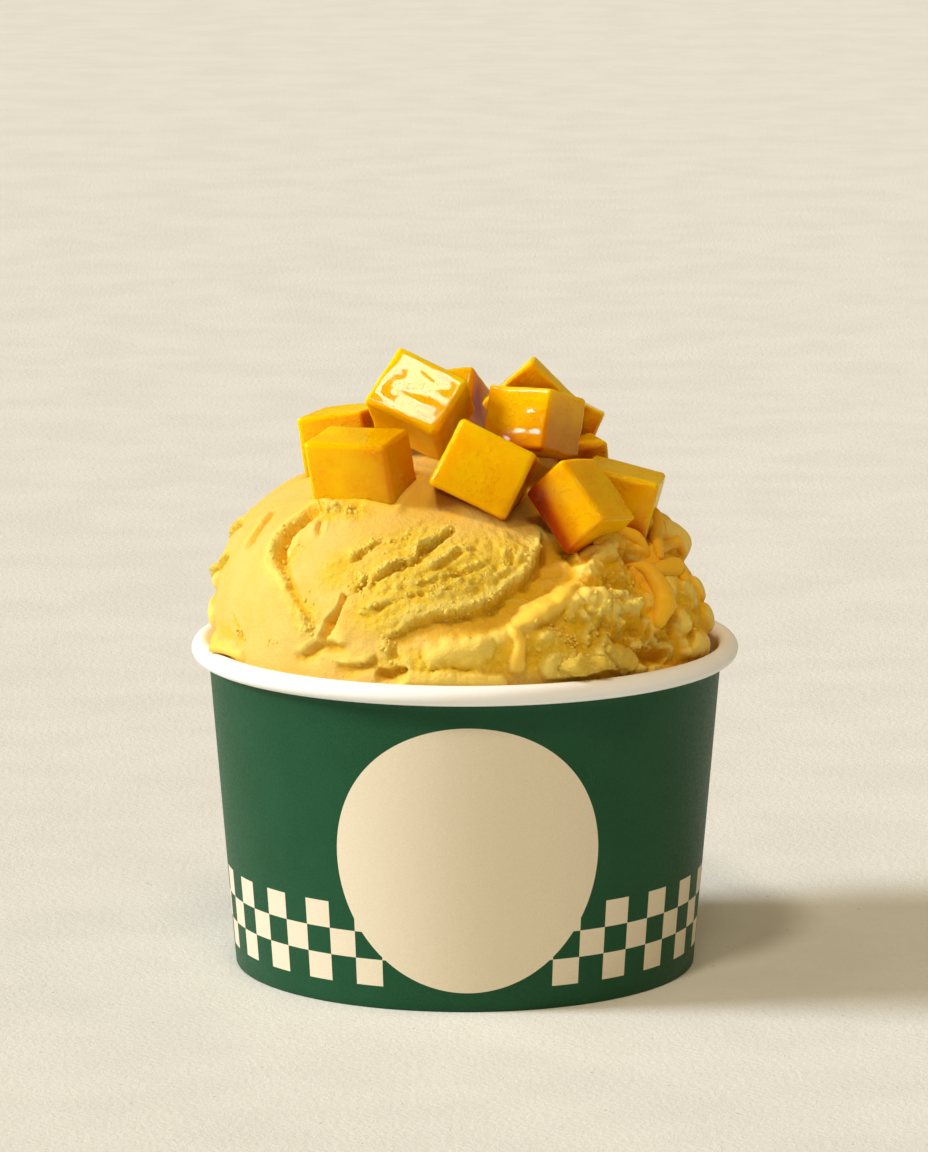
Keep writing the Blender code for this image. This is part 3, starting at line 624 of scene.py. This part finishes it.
def gelato_mound():
    """The whole fill as one closed mesh, in relief over the mound."""
    columns = np.concatenate([np.arange(*run) for run in COLUMN_RUNS])
    climbs = np.linspace(90.0, 0.0, 1441)
    path = mound_point(np.full_like(climbs, -20.0), climbs)
    length = np.append(0.0, np.cumsum(np.linalg.norm(np.diff(path, axis=0), axis=1)))
    wanted = np.append(np.arange(0.8, CUBES_REACH, 0.8), np.arange(CUBES_REACH, length[-1], RING_STEP))
    ring_climbs = np.append(np.interp(wanted, length, climbs), 0.0)
    depths = np.linspace(0.0, 1.0, 13)[1:]
    count, rings = len(columns), len(ring_climbs) + len(depths)
    azimuth = np.tile(columns, rings)
    climb = np.repeat(np.append(ring_climbs, np.zeros_like(depths)), count)
    sunk = np.repeat(np.append(np.zeros_like(ring_climbs), depths), count)
    base = mound_point(azimuth, climb)
    base[:, 2] += (FILL_SHOULDER - base[:, 2]) * sunk
    normals = plain_normals(azimuth, climb)
    relief = Relief(base, normals)
    near = distance_to_cubes(base)
    banked = 0.5 * np.exp(-(near - 0.6) ** 2)
    height = (relief.height + banked) * (1.0 - sunk)
    # Height over the surroundings, used for a painted highlight on crests and painted shade in hollows
    crest = crests(height.reshape(rings, count)).ravel()
    points = keep_inside_rim(base + normals * height[:, None])
    # Juice next to the cubes; the deeper colour it gives there is partly painted shade under the cubes
    wet = np.maximum(relief.wet, 0.9 * np.exp(-(near / 1.6) ** 2))
    top = len(points)
    top_point = mound_point(np.array([0.0]), np.array([90.0]))
    floor = points[-count:].copy()
    floor_out = wall_radius(FILL_FLOOR) - PAPER - WALL_CLEARANCE
    floor[:, :2] *= (floor_out / np.hypot(floor[:, 0], floor[:, 1]))[:, None]
    floor[:, 2] = FILL_FLOOR
    all_points = np.vstack([points, top_point, floor, [[0.0, 0.0, FILL_FLOOR]]])
    faces = ring_faces(rings, count)
    last = (rings - 1) * count
    for j in range(count):
        k = (j + 1) % count
        faces.append((top, j, k))
        faces.append((last + j, top + 1 + j, top + 1 + k, last + k))
        faces.append((top + 1 + k, top + 1 + j, top + 1 + count))
    piece = add_mesh("gelato_mound", all_points, faces)
    plain_part = np.zeros(count + 2)
    store(piece, crumbly=np.append(relief.crumbly, plain_part), wet=np.append(wet, plain_part),
          crest=np.append(crest, plain_part), dense=np.append(relief.dense, plain_part))
    return piece


def sphere_parts(subdivisions):
    work = bmesh.new()
    bmesh.ops.create_icosphere(work, subdivisions=subdivisions, radius=1.0)
    points = np.array([vertex.co[:] for vertex in work.verts])
    faces = [tuple(vertex.index for vertex in face.verts) for face in work.faces]
    work.free()
    return points, faces


def loose_crumbs():
    """Broken bits of gelato that lie along the ragged folds."""
    draw = np.random.default_rng(CRUMB_SEED)
    ball, ball_faces = sphere_parts(2)
    azimuths, heights, sizes = [], [], []
    for at, level, wide, tall, count, least, most in CRUMBS:
        azimuths.extend(draw.normal(at, wide * 0.6, count))
        heights.extend(draw.normal(level, tall * 0.6, count))
        sizes.extend(least + (most - least) * draw.random(count) ** 1.8)
    for fold in FOLDS:
        if fold[-1] < MIN_TORN:
            continue
        route = route_on_mound(fold[0], pieces=12)
        count = int(len(route) * 0.7)
        for at in draw.integers(1, len(route) - 1, count):
            azimuths.append(azimuth_at(route)[at] - draw.normal(0.4, 0.9))
            heights.append(route[at][2] + draw.normal(0.35, 0.45))
            sizes.append(0.3 + 0.9 * draw.random() ** 3)
    azimuths = np.array(azimuths)
    climbs = np.array([climb_at(a, h) for a, h in zip(azimuths, heights)])
    base = mound_point(azimuths, climbs)
    normals = plain_normals(azimuths, climbs)
    centres = base + normals * Relief(base, normals).height[:, None]
    points, faces = [], []
    for centre, normal, size in zip(centres, normals, sizes):
        turn = np.array(Euler(draw.uniform(0, 6.28, 3)).to_matrix())
        shape = ball * draw.uniform(0.65, 1.2, 3)
        shape = shape * draw.uniform(0.72, 1.15, (len(ball), 1))
        start = len(points) * len(ball)
        points.append(centre - normal * size * 0.12 + shape @ turn.T * size / 2)
        faces.extend(tuple(start + i for i in face) for face in ball_faces)
    piece = add_mesh("gelato_crumbs", keep_inside_rim(np.vstack(points)), faces)
    count = len(piece.data.vertices)
    # Crumbs get a fixed crest value, so the painted crest highlight lies on all of them
    store_on_mound(piece, np.ones(count), np.zeros(count), np.full(count, 0.6))
    return piece


def drips():
    """Soft drips, ribbons and broken chunks, each a closed tube that swells and thins."""
    draw = np.random.default_rng(DRIP_SEED)
    around = np.linspace(0.0, 2 * math.pi, 20, endpoint=False)
    points, faces, wet = [], [], []
    for route, radii, wetness in DRIPS:
        path = route_on_mound(route, pieces=6)
        count = len(path)
        climbs = np.array([climb_at(a, h) for a, h in zip(azimuth_at(path), path[:, 2])])
        normals = plain_normals(azimuth_at(path), climbs)
        rise = Relief(path, normals).height
        for _ in range(3):
            rise[1:-1] = (rise[:-2] + rise[1:-1] + rise[2:]) / 3.0
        share = np.linspace(0.0, 1.0, count)
        radii = along_route(radii, share)
        path = path + normals * (rise + radii * 0.25)[:, None]
        forward = np.gradient(path, axis=0)
        forward /= np.linalg.norm(forward, axis=1)[:, None]
        sideways = np.cross(forward, normals)
        caps = np.linspace(0.0, math.pi / 2, 6)
        rings = [(path[0] - forward[0] * radii[0] * math.cos(a), 0, radii[0] * math.sin(a))
                 for a in caps[:-1]]
        rings += [(path[i], i, radii[i]) for i in range(count)]
        rings += [(path[-1] + forward[-1] * radii[-1] * math.sin(a), count - 1,
                   radii[-1] * math.cos(a)) for a in caps[1:]]
        start = sum(len(block) for block in points)
        tube = []
        for centre, i, radius in rings:
            radius = max(radius, 0.02)
            tube.append(centre + radius * (np.cos(around)[:, None] * sideways[i]
                                           + 0.85 * np.sin(around)[:, None] * normals[i]))
        tube = np.vstack(tube)
        middle = np.repeat([ring[0] for ring in rings], len(around), axis=0)
        swell, size = (0.10, 2.6) if wetness > DRY else (0.30, 1.3)
        tube = middle + (tube - middle) * (1.0 + swell * noise(tube, size, 63))[:, None]
        if wetness < DRY:
            tube += 0.25 * draw.normal(0, 0.15, tube.shape)
        points.append(tube)
        wet.append(np.full(len(tube), wetness))
        last = (len(rings) - 1) * len(around)
        ends = [tuple(range(len(around))), tuple(range(last, len(tube)))[::-1]]
        for face in ring_faces(len(rings), len(around)) + ends:
            faces.append(tuple(start + index for index in face))
    piece = add_mesh("gelato_drips", keep_inside_rim(np.vstack(points)), faces)
    turn_outwards(piece)
    wet = np.concatenate(wet)
    dry = wet < DRY
    # Drips get fixed crest values, more for dry chunks, for the painted crest highlight
    store_on_mound(piece, np.where(dry, 0.9, 0.0), wet * 0.6, np.where(dry, 0.5, 0.15))
    return piece


def box_grid(count):
    """Points and quads of a cube from -1 to 1, closer together towards its edges."""
    quarter = math.pi / 2 * 0.999
    steps = np.sin(np.linspace(-quarter, quarter, count + 1)) / math.sin(quarter)
    index = {}
    points, faces = [], []

    def place(point):
        key = tuple(round(value, 6) for value in point)
        if key not in index:
            index[key] = len(points)
            points.append(key)
        return index[key]

    for axis in range(3):
        for side in (-1.0, 1.0):
            first, second = (axis + 1) % 3, (axis + 2) % 3
            for i in range(count):
                for j in range(count):
                    corners = []
                    for a, b in ((i, j), (i + 1, j), (i + 1, j + 1), (i, j + 1)):
                        point = [0.0, 0.0, 0.0]
                        point[axis], point[first], point[second] = side, steps[a], steps[b]
                        corners.append(place(point))
                    faces.append(tuple(corners if side > 0 else corners[::-1]))
    return np.array(points), faces


def mango_cube(number, frame_of_cube, grid, faces):
    """One cut cube: soft worn edges, faces a little hollow and wavy, with knife lines."""
    centre, turn, half = frame_of_cube
    draw = np.random.default_rng(CUBE_SEED + number)
    flat = grid * half
    radius = EDGE_RADIUS * (1.0 + EDGE_WEAR * noise(flat, 4.5, 70 + number)[:, None])
    inner = np.clip(flat, -(half - radius), half - radius)
    away = flat - inner
    distance = np.maximum(np.linalg.norm(away, axis=1), 1e-6)[:, None]
    normal = away / distance
    shape = inner + normal * radius
    dish = np.prod(1.0 - np.clip(np.abs(flat) / half, 0, 1) ** 2 * (np.abs(normal) < 0.5), axis=1)
    wave = 0.13 * noise(flat, 6.0, 80 + number) + 0.04 * noise(flat, 1.8, 90 + number)
    grain = int(draw.integers(0, 3))
    stretch = np.ones(3) / 0.9
    stretch[grain] = 1 / 9.0
    fibres = 0.045 * noise(flat * stretch, 1.0, 95 + number)
    shape = shape + normal * (wave + fibres - DISH_DEPTH * dish - 0.05)[:, None]
    points = shape @ turn.T + centre
    piece = add_mesh(f"mango_flesh_{number:02d}", points, faces)
    # Painted shade: darker and redder where other cubes and the mound take light away, and towards the
    # shaded ends
    deep = SHADE_SHARE.get(number, 1.0) * closed_in(points, normal @ turn.T, number)
    for cube, direction, strength in SHADED_ENDS:
        if cube == number:
            end = np.clip((flat / half) @ direction + 0.5, 0.0, 1.3) / 1.3
            deep = np.maximum(deep, strength * end)
    store(piece, deep=deep)
    local = piece.data.attributes.new("local", "FLOAT_VECTOR", "POINT")
    along = np.roll(flat, -grain, axis=1) + number * 40.0
    local.data.foreach_set("vector", along.astype(np.float32).ravel())
    return piece


def seam_lift(azimuth):
    """The paper's side seam: an edge on one side, easing away on the other."""
    past = (azimuth - SEAM_AZIMUTH) % 360.0
    ease = np.clip(1.0 - past / SEAM_FADE, 0.0, 1.0)
    return SEAM_THICKNESS * ease * ease * (3 - 2 * ease)


def paper_cup():
    """Wall, rolled rim and folded foot in one turned surface, with the side seam at the back."""
    centre_radius, centre_height = ROLL_CENTRE
    profile = [(wall_radius(height) - PAPER, height, INSIDE)
               for height in np.linspace(FOOT_HEIGHT, centre_height, 24)[:-1]]
    profile.append((wall_radius(centre_height) - PAPER, centre_height - 0.5, INSIDE))
    for angle in np.linspace(180, -75, 30):
        turn = math.radians(angle)
        profile.append((centre_radius + ROLL_RADIUS * math.cos(turn),
                        centre_height + ROLL_RADIUS * math.sin(turn), ROLL))
    top = CUP_HEIGHT - 2 * ROLL_RADIUS - 0.1
    profile += [(wall_radius(height), height, OUTSIDE)
                for height in np.linspace(top, FOOT_ROUNDING, 40)]
    profile += [(FOOT_RADIUS - 0.1, 0.08, OUTSIDE), (FOOT_RADIUS - FOOT_ROUNDING, 0.0, OUTSIDE)]
    foot_inside = FOOT_RADIUS - FOOT_THICKNESS
    groove = ((0.62, 0.0), (0.68, 0.22), (0.76, 0.22), (0.82, 0.0))
    profile += [(FOOT_RADIUS - inwards, height, FOOT) for inwards, height in groove]
    profile += [(foot_inside + FOOT_ROUNDING, 0.0, FOOT), (foot_inside, FOOT_ROUNDING, FOOT),
                (foot_inside + 0.1, FOOT_HEIGHT, FOOT)]
    even = np.arange(CUP_COLUMNS) * 360.0 / CUP_COLUMNS - 180.0
    azimuth = np.sort(np.concatenate([even, [SEAM_AZIMUTH - 0.06, SEAM_AZIMUTH + 0.01]]))
    lift = seam_lift(azimuth)
    turn = np.radians(azimuth)
    points = []
    for radius, height, where in profile:
        out = radius + SEAM_SHARES[where] * lift
        if where == ROLL:
            out = np.minimum(out, RIM_RADIUS + 0.1)
        level = np.full(len(turn), height)
        points.append(np.stack([out * np.sin(turn), -out * np.cos(turn), level], axis=1))
    rings, count = len(profile), len(azimuth)
    faces = ring_faces(rings, count)
    for j in range(count):
        k = (j + 1) % count
        faces.append(((rings - 1) * count + j, j, k, (rings - 1) * count + k))
    piece = add_mesh("paper_cup", np.vstack(points), faces)
    turn_outwards(piece)
    store(piece, printed=np.repeat([float(where == OUTSIDE) for *_, where in profile], count))
    return piece


class Graph:
    """A material's nodes, with short calls to add them."""

    def __init__(self, name):
        self.material = bpy.data.materials.new(name)
        self.material.use_nodes = True
        self.tree = self.material.node_tree
        self.shader = self.tree.nodes["Principled BSDF"]
        self.place = None

    def node(self, kind, sockets=(), **settings):
        node = self.tree.nodes.new("ShaderNode" + kind)
        for key, value in settings.items():
            setattr(node, key, value)
        for key, value in dict(sockets).items():
            self.put(value, node.inputs[key])
        return node

    def put(self, value, socket):
        if isinstance(value, bpy.types.NodeSocket):
            self.tree.links.new(value, socket)
        else:
            socket.default_value = (*value, 1.0) if socket.type == "RGBA" else value

    def set(self, **values):
        for key, value in values.items():
            self.put(value, self.shader.inputs[key.replace("_", " ")])

    def math(self, operation, *values, clamp=False):
        return self.node("Math", enumerate(values), operation=operation, use_clamp=clamp).outputs[0]

    def times(self, first, second, clamp=False):
        return self.math("MULTIPLY", first, second, clamp=clamp)

    def plus(self, first, second):
        return self.math("ADD", first, second)

    def position(self):
        """Object coordinates in millimetres."""
        if self.place is None:
            sockets = {0: self.node("TexCoord").outputs["Object"], "Scale": 1.0 / MM}
            self.place = self.node("VectorMath", sockets, operation="SCALE").outputs[0]
        return self.place

    def attribute(self, name, output="Fac"):
        return self.node("Attribute", attribute_name=name).outputs[output]

    def noise(self, size, detail=2.0, roughness=0.5, vector=None):
        sockets = {"Vector": vector or self.position(), "Scale": 1.0 / size,
                   "Detail": detail, "Roughness": roughness}
        return self.node("TexNoise", sockets).outputs["Fac"]

    def cells(self, size):
        sockets = {"Vector": self.position(), "Scale": 1.0 / size}
        return self.node("TexVoronoi", sockets).outputs["Distance"]

    def ramp(self, value, low, high, to_low=0.0, to_high=1.0):
        sockets = enumerate((value, low, high, to_low, to_high))
        return self.node("MapRange", sockets, interpolation_type="SMOOTHSTEP").outputs[0]

    def mix(self, share, first, second):
        return self.node("Mix", {0: share, 6: first, 7: second}, data_type="RGBA").outputs[2]

    def bump(self, height, distance):
        sockets = {"Strength": 1.0, "Distance": distance * MM, "Height": height}
        return self.node("Bump", sockets).outputs["Normal"]


def paper_material():
    """Matte printed paper: green with a cream disc and check band, white where it isn't printed."""
    g = Graph("printed_paper")
    x, y, z = g.node("SeparateXYZ", {0: g.position()}).outputs
    azimuth = g.math("DEGREES", g.math("ARCTAN2", x, g.times(y, -1.0)))
    turned = g.math("ABSOLUTE", g.math("SUBTRACT", azimuth, PRINT_TURN))
    column = g.math("FLOOR", g.math("DIVIDE", turned, CHECK_ANGLE))
    odd = g.math("MODULO", column, 2.0)
    row = g.math("FLOOR", g.math("DIVIDE", g.math("SUBTRACT", z, CHECK_LOW), CHECK_SIDE))
    middle = g.math("COMPARE", row, 1.0, 0.1)
    in_band = g.math("COMPARE", row, 1.0, 1.1)
    differs = g.math("ABSOLUTE", g.math("SUBTRACT", odd, middle))
    clear_of_disc = g.math("GREATER_THAN", column, 1.5)
    check = g.times(g.times(differs, in_band), clear_of_disc)
    across = g.times(turned, math.radians(wall_radius(DISC_HEIGHT)))
    up = g.math("SUBTRACT", z, DISC_HEIGHT)
    squared = g.plus(g.times(across, across), g.times(up, up))
    disc = g.math("LESS_THAN", g.math("SQRT", squared), DISC_RADIUS)
    cream_share = g.math("MAXIMUM", check, disc)
    speck = g.noise(0.22, 2.0, 0.6)
    cloud = g.noise(9.0, 3.0)
    green = g.mix(g.ramp(speck, 0.35, 0.7), (0.008, 0.064, 0.024), (0.013, 0.086, 0.035))
    green = g.mix(g.ramp(cloud, 0.3, 0.7, 0.0, 0.25), green, (0.016, 0.100, 0.045))
    cream = g.mix(g.ramp(speck, 0.3, 0.7), (0.76, 0.68, 0.51), (0.82, 0.74, 0.57))
    ink = g.mix(cream_share, green, cream)
    white = g.mix(g.ramp(cloud, 0.3, 0.7), (0.95, 0.94, 0.92), (0.97, 0.965, 0.95))
    printed = g.math("GREATER_THAN", g.attribute("printed"), 0.5)
    g.set(Base_Color=g.mix(printed, white, ink),
          Roughness=g.ramp(g.noise(0.5, 3.0), 0.3, 0.7, 0.42, 0.56),
          Normal=g.bump(g.plus(g.noise(0.16, 3.0, 0.7), g.times(g.noise(1.4, 2.0), 1.5)), 0.022),
          Specular_IOR_Level=0.16)
    return g.material


def board_material():
    """Plain board of the raised base."""
    g = Graph("plain_paper")
    fibre = g.noise(0.5, 4.0, 0.7)
    g.set(Base_Color=g.mix(fibre, (0.72, 0.68, 0.61), (0.84, 0.81, 0.75)),
          Roughness=0.7, Normal=g.bump(fibre, 0.03))
    return g.material


def gelato_material(name, depth, softness):
    """Soft frozen cream: smooth and even where it was scooped, grainy and paler where it broke."""
    g = Graph(name)
    crumbly = g.attribute("crumbly")
    wet = g.attribute("wet")
    crest = g.attribute("crest")
    cloud = g.noise(7.0, 3.0)
    smooth = g.mix(g.ramp(cloud, 0.3, 0.7), (0.83, 0.545, 0.105), (0.85, 0.58, 0.145))
    broken = g.mix(g.ramp(cloud, 0.3, 0.7), (0.92, 0.60, 0.030), (0.94, 0.64, 0.055))
    base = g.mix(g.ramp(crumbly, 0.0, 0.5), smooth, broken)
    # painted shade: deeper, more saturated yellow on the right-hand side
    base = g.mix(g.ramp(g.attribute("dense"), 0.0, 1.0, 0.0, 0.85), base, (0.92, 0.47, 0.002))
    # Painted highlight: paler on crests; painted shade: deeper orange in hollows
    base = g.mix(g.ramp(crest, 0.0, 1.0, 0.0, 0.9), base, (0.95, 0.72, 0.15))
    base = g.mix(g.ramp(crest, 0.0, -0.9, 0.0, 0.6), base, (0.88, 0.49, 0.0))
    pulp = g.ramp(g.noise(1.1, 3.0, 0.6), 0.55, 0.75)
    base = g.mix(g.times(pulp, 0.22), base, (0.94, 0.74, 0.26))
    # Wet gelato turns deeper orange: juice, and next to the cubes partly painted shade
    base = g.mix(g.times(wet, 0.65), base, (0.90, 0.50, 0.010))
    grain = g.noise(0.75, 4.0, 0.75)
    broken_up = g.ramp(crumbly, 0.1, 0.6)
    dark, pale = g.ramp(grain, 0.47, 0.36), g.ramp(grain, 0.52, 0.64)
    base = g.mix(g.times(dark, g.times(broken_up, 0.40)), base, (0.86, 0.46, 0.0))
    base = g.mix(g.times(pale, g.times(broken_up, 0.55)), base, (0.96, 0.75, 0.17))
    ice = g.noise(0.16, 2.0, 0.6)
    bubbles = g.ramp(g.cells(1.3), 0.0, 0.16)
    grain_depth = g.plus(0.35, g.times(crumbly, 1.6))
    dry = g.math("SUBTRACT", 1.0, g.times(wet, 0.85))
    texture = g.times(g.times(g.ramp(grain, 0.25, 0.75), grain_depth), dry)
    texture = g.plus(texture, g.times(g.times(ice, 0.25), dry))
    texture = g.plus(texture, g.times(g.times(bubbles, 0.5), dry))
    rough = g.plus(g.ramp(grain, 0.3, 0.7, 0.42, 0.58), g.times(crumbly, 0.08))
    rough = g.math("SUBTRACT", rough, g.times(wet, 0.42), clamp=True)
    g.set(Base_Color=base, Roughness=rough, Normal=g.bump(texture, depth),
          Subsurface_Weight=softness, Subsurface_Radius=(1.0, 0.6, 0.25), Subsurface_Scale=0.0014,
          IOR=1.33, Specular_IOR_Level=0.18)
    return g.material


def mango_material():
    """Wet fruit flesh: light passes a little way in, thin fibres run one way."""
    g = Graph("mango")
    local = g.attribute("local", "Vector")
    drawn_out = g.node("VectorMath", {0: local, 1: (0.12, 1.0, 1.0)}, operation="MULTIPLY").outputs[0]
    fibres = g.noise(0.7, 4.0, 0.6, drawn_out)
    cloud = g.noise(5.0, 2.0, 0.5, local)
    film = g.noise(1.6, 3.0, 0.6, local)
    base = g.mix(g.ramp(cloud, 0.3, 0.7), (0.89, 0.46, 0.0), (0.92, 0.56, 0.0))
    base = g.mix(g.ramp(fibres, 0.45, 0.75, 0.0, 0.45), base, (0.93, 0.62, 0.003))
    # Painted shade: deep red-orange, darkest where the cube is most shaded
    deep = g.attribute("deep")
    base = g.mix(g.times(deep, 0.95, clamp=True), base, (0.46, 0.08, 0.0))
    base = g.mix(g.ramp(deep, 0.8, 1.3), base, (0.24, 0.025, 0.0))
    height = g.plus(g.times(fibres, 0.22), g.times(film, 0.9))
    clusters = g.ramp(g.noise(4.5, 1.0, 0.5, local), 0.42, 0.58, 0.1, 1.0)
    droplets = g.ramp(g.noise(0.8, 1.0, 0.5, local), 0.52, 0.66)
    height = g.plus(height, g.times(g.times(droplets, clusters), 1.3))
    g.set(Base_Color=base, Roughness=g.ramp(film, 0.35, 0.65, 0.16, 0.34), Normal=g.bump(height, 0.10),
          Subsurface_Weight=0.75, Subsurface_Radius=(1.0, 0.42, 0.08), Subsurface_Scale=0.004,
          Specular_IOR_Level=0.0, Coat_Weight=0.36, Coat_IOR=1.4, Coat_Roughness=0.03)
    return g.material


def floor_material():
    """Pale stone with faint clouds, grit and a few specks."""
    g = Graph("floor")
    cloud = g.ramp(g.noise(28.0, 5.0, 0.6), 0.35, 0.65)
    grit = g.noise(1.2, 4.0, 0.7)
    scattered = g.ramp(g.noise(5.0, 2.0), 0.50, 0.62)
    specks = g.times(g.ramp(g.cells(4.0), 0.10, 0.04), scattered)
    base = g.mix(cloud, (0.725, 0.735, 0.695), (0.765, 0.775, 0.735))
    base = g.mix(g.ramp(grit, 0.4, 0.7, 0.0, 0.25), base, (0.69, 0.67, 0.60))
    base = g.mix(g.times(specks, 0.7), base, (0.40, 0.33, 0.25))
    g.set(Base_Color=base, Roughness=0.85, Normal=g.bump(grit, 0.25), Specular_IOR_Level=0.2)
    return g.material


def give(piece, material, slot, *nodes):
    piece.data.materials.append(material)
    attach(piece, "root")
    if nodes:
        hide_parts(*nodes)


def build_model():
    give(paper_cup(), paper_material(), "printed_paper", "cup_wall")
    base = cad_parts["cup_base"]
    board = board_material()
    for slot in base.material_slots:
        slot.material = board
    gelato = gelato_material("gelato", 0.20, 0.15)
    give(gelato_mound(), gelato, "gelato", "gelato")
    give(loose_crumbs(), gelato_material("gelato_broken", 0.06, 0.0), "gelato")
    give(drips(), gelato, "gelato")
    mango = mango_material()
    grid, faces = box_grid(CUBE_GRID)
    for number, cube in enumerate(cube_frames(), start=1):
        give(mango_cube(number, cube, grid, faces), mango, "mango", f"mango_cube_{number:02d}")


def add_sun(name, towards, size, strength, tint):
    light = bpy.data.lights.new(name, "SUN")
    light.angle = math.radians(size)
    light.energy = strength
    light.color = tint
    holder = add_object(name, light)
    holder.location = towards
    holder.rotation_euler = Vector(towards).to_track_quat("Z", "Y").to_euler()


def build_stage():
    corners = [(x * FLOOR_REACH, y * FLOOR_REACH, 0) for x, y in ((-1, -1), (1, -1), (1, 1), (-1, 1))]
    floor = add_mesh("floor", corners, [(0, 1, 2, 3)])
    floor.data.materials.append(floor_material())
    world = bpy.data.worlds.new("soft_room")
    world.use_nodes = True
    background = world.node_tree.nodes["Background"]
    background.inputs["Color"].default_value = ROOM_COLOUR
    background.inputs["Strength"].default_value = ROOM_STRENGTH
    bpy.context.scene.world = world
    for sun in SUNS:
        add_sun(*sun)
    bpy.context.scene.view_settings.view_transform = "Standard"


def build_camera():
    data = bpy.data.cameras.new("camera")
    data.sensor_fit = "VERTICAL"
    data.sensor_height = SENSOR_HEIGHT
    data.lens = FOCAL_PIXELS * SENSOR_HEIGHT / PHOTO_HEIGHT
    data.clip_start, data.clip_end = 0.05, 20.0
    camera = add_object("camera", data)
    camera.location = Vector(CAMERA_PLACE) * MM
    camera.rotation_euler = (math.pi / 2 - CAMERA_PITCH, 0.0, 0.0)
    bpy.context.scene.camera = camera


build_model()
build_stage()
build_camera()
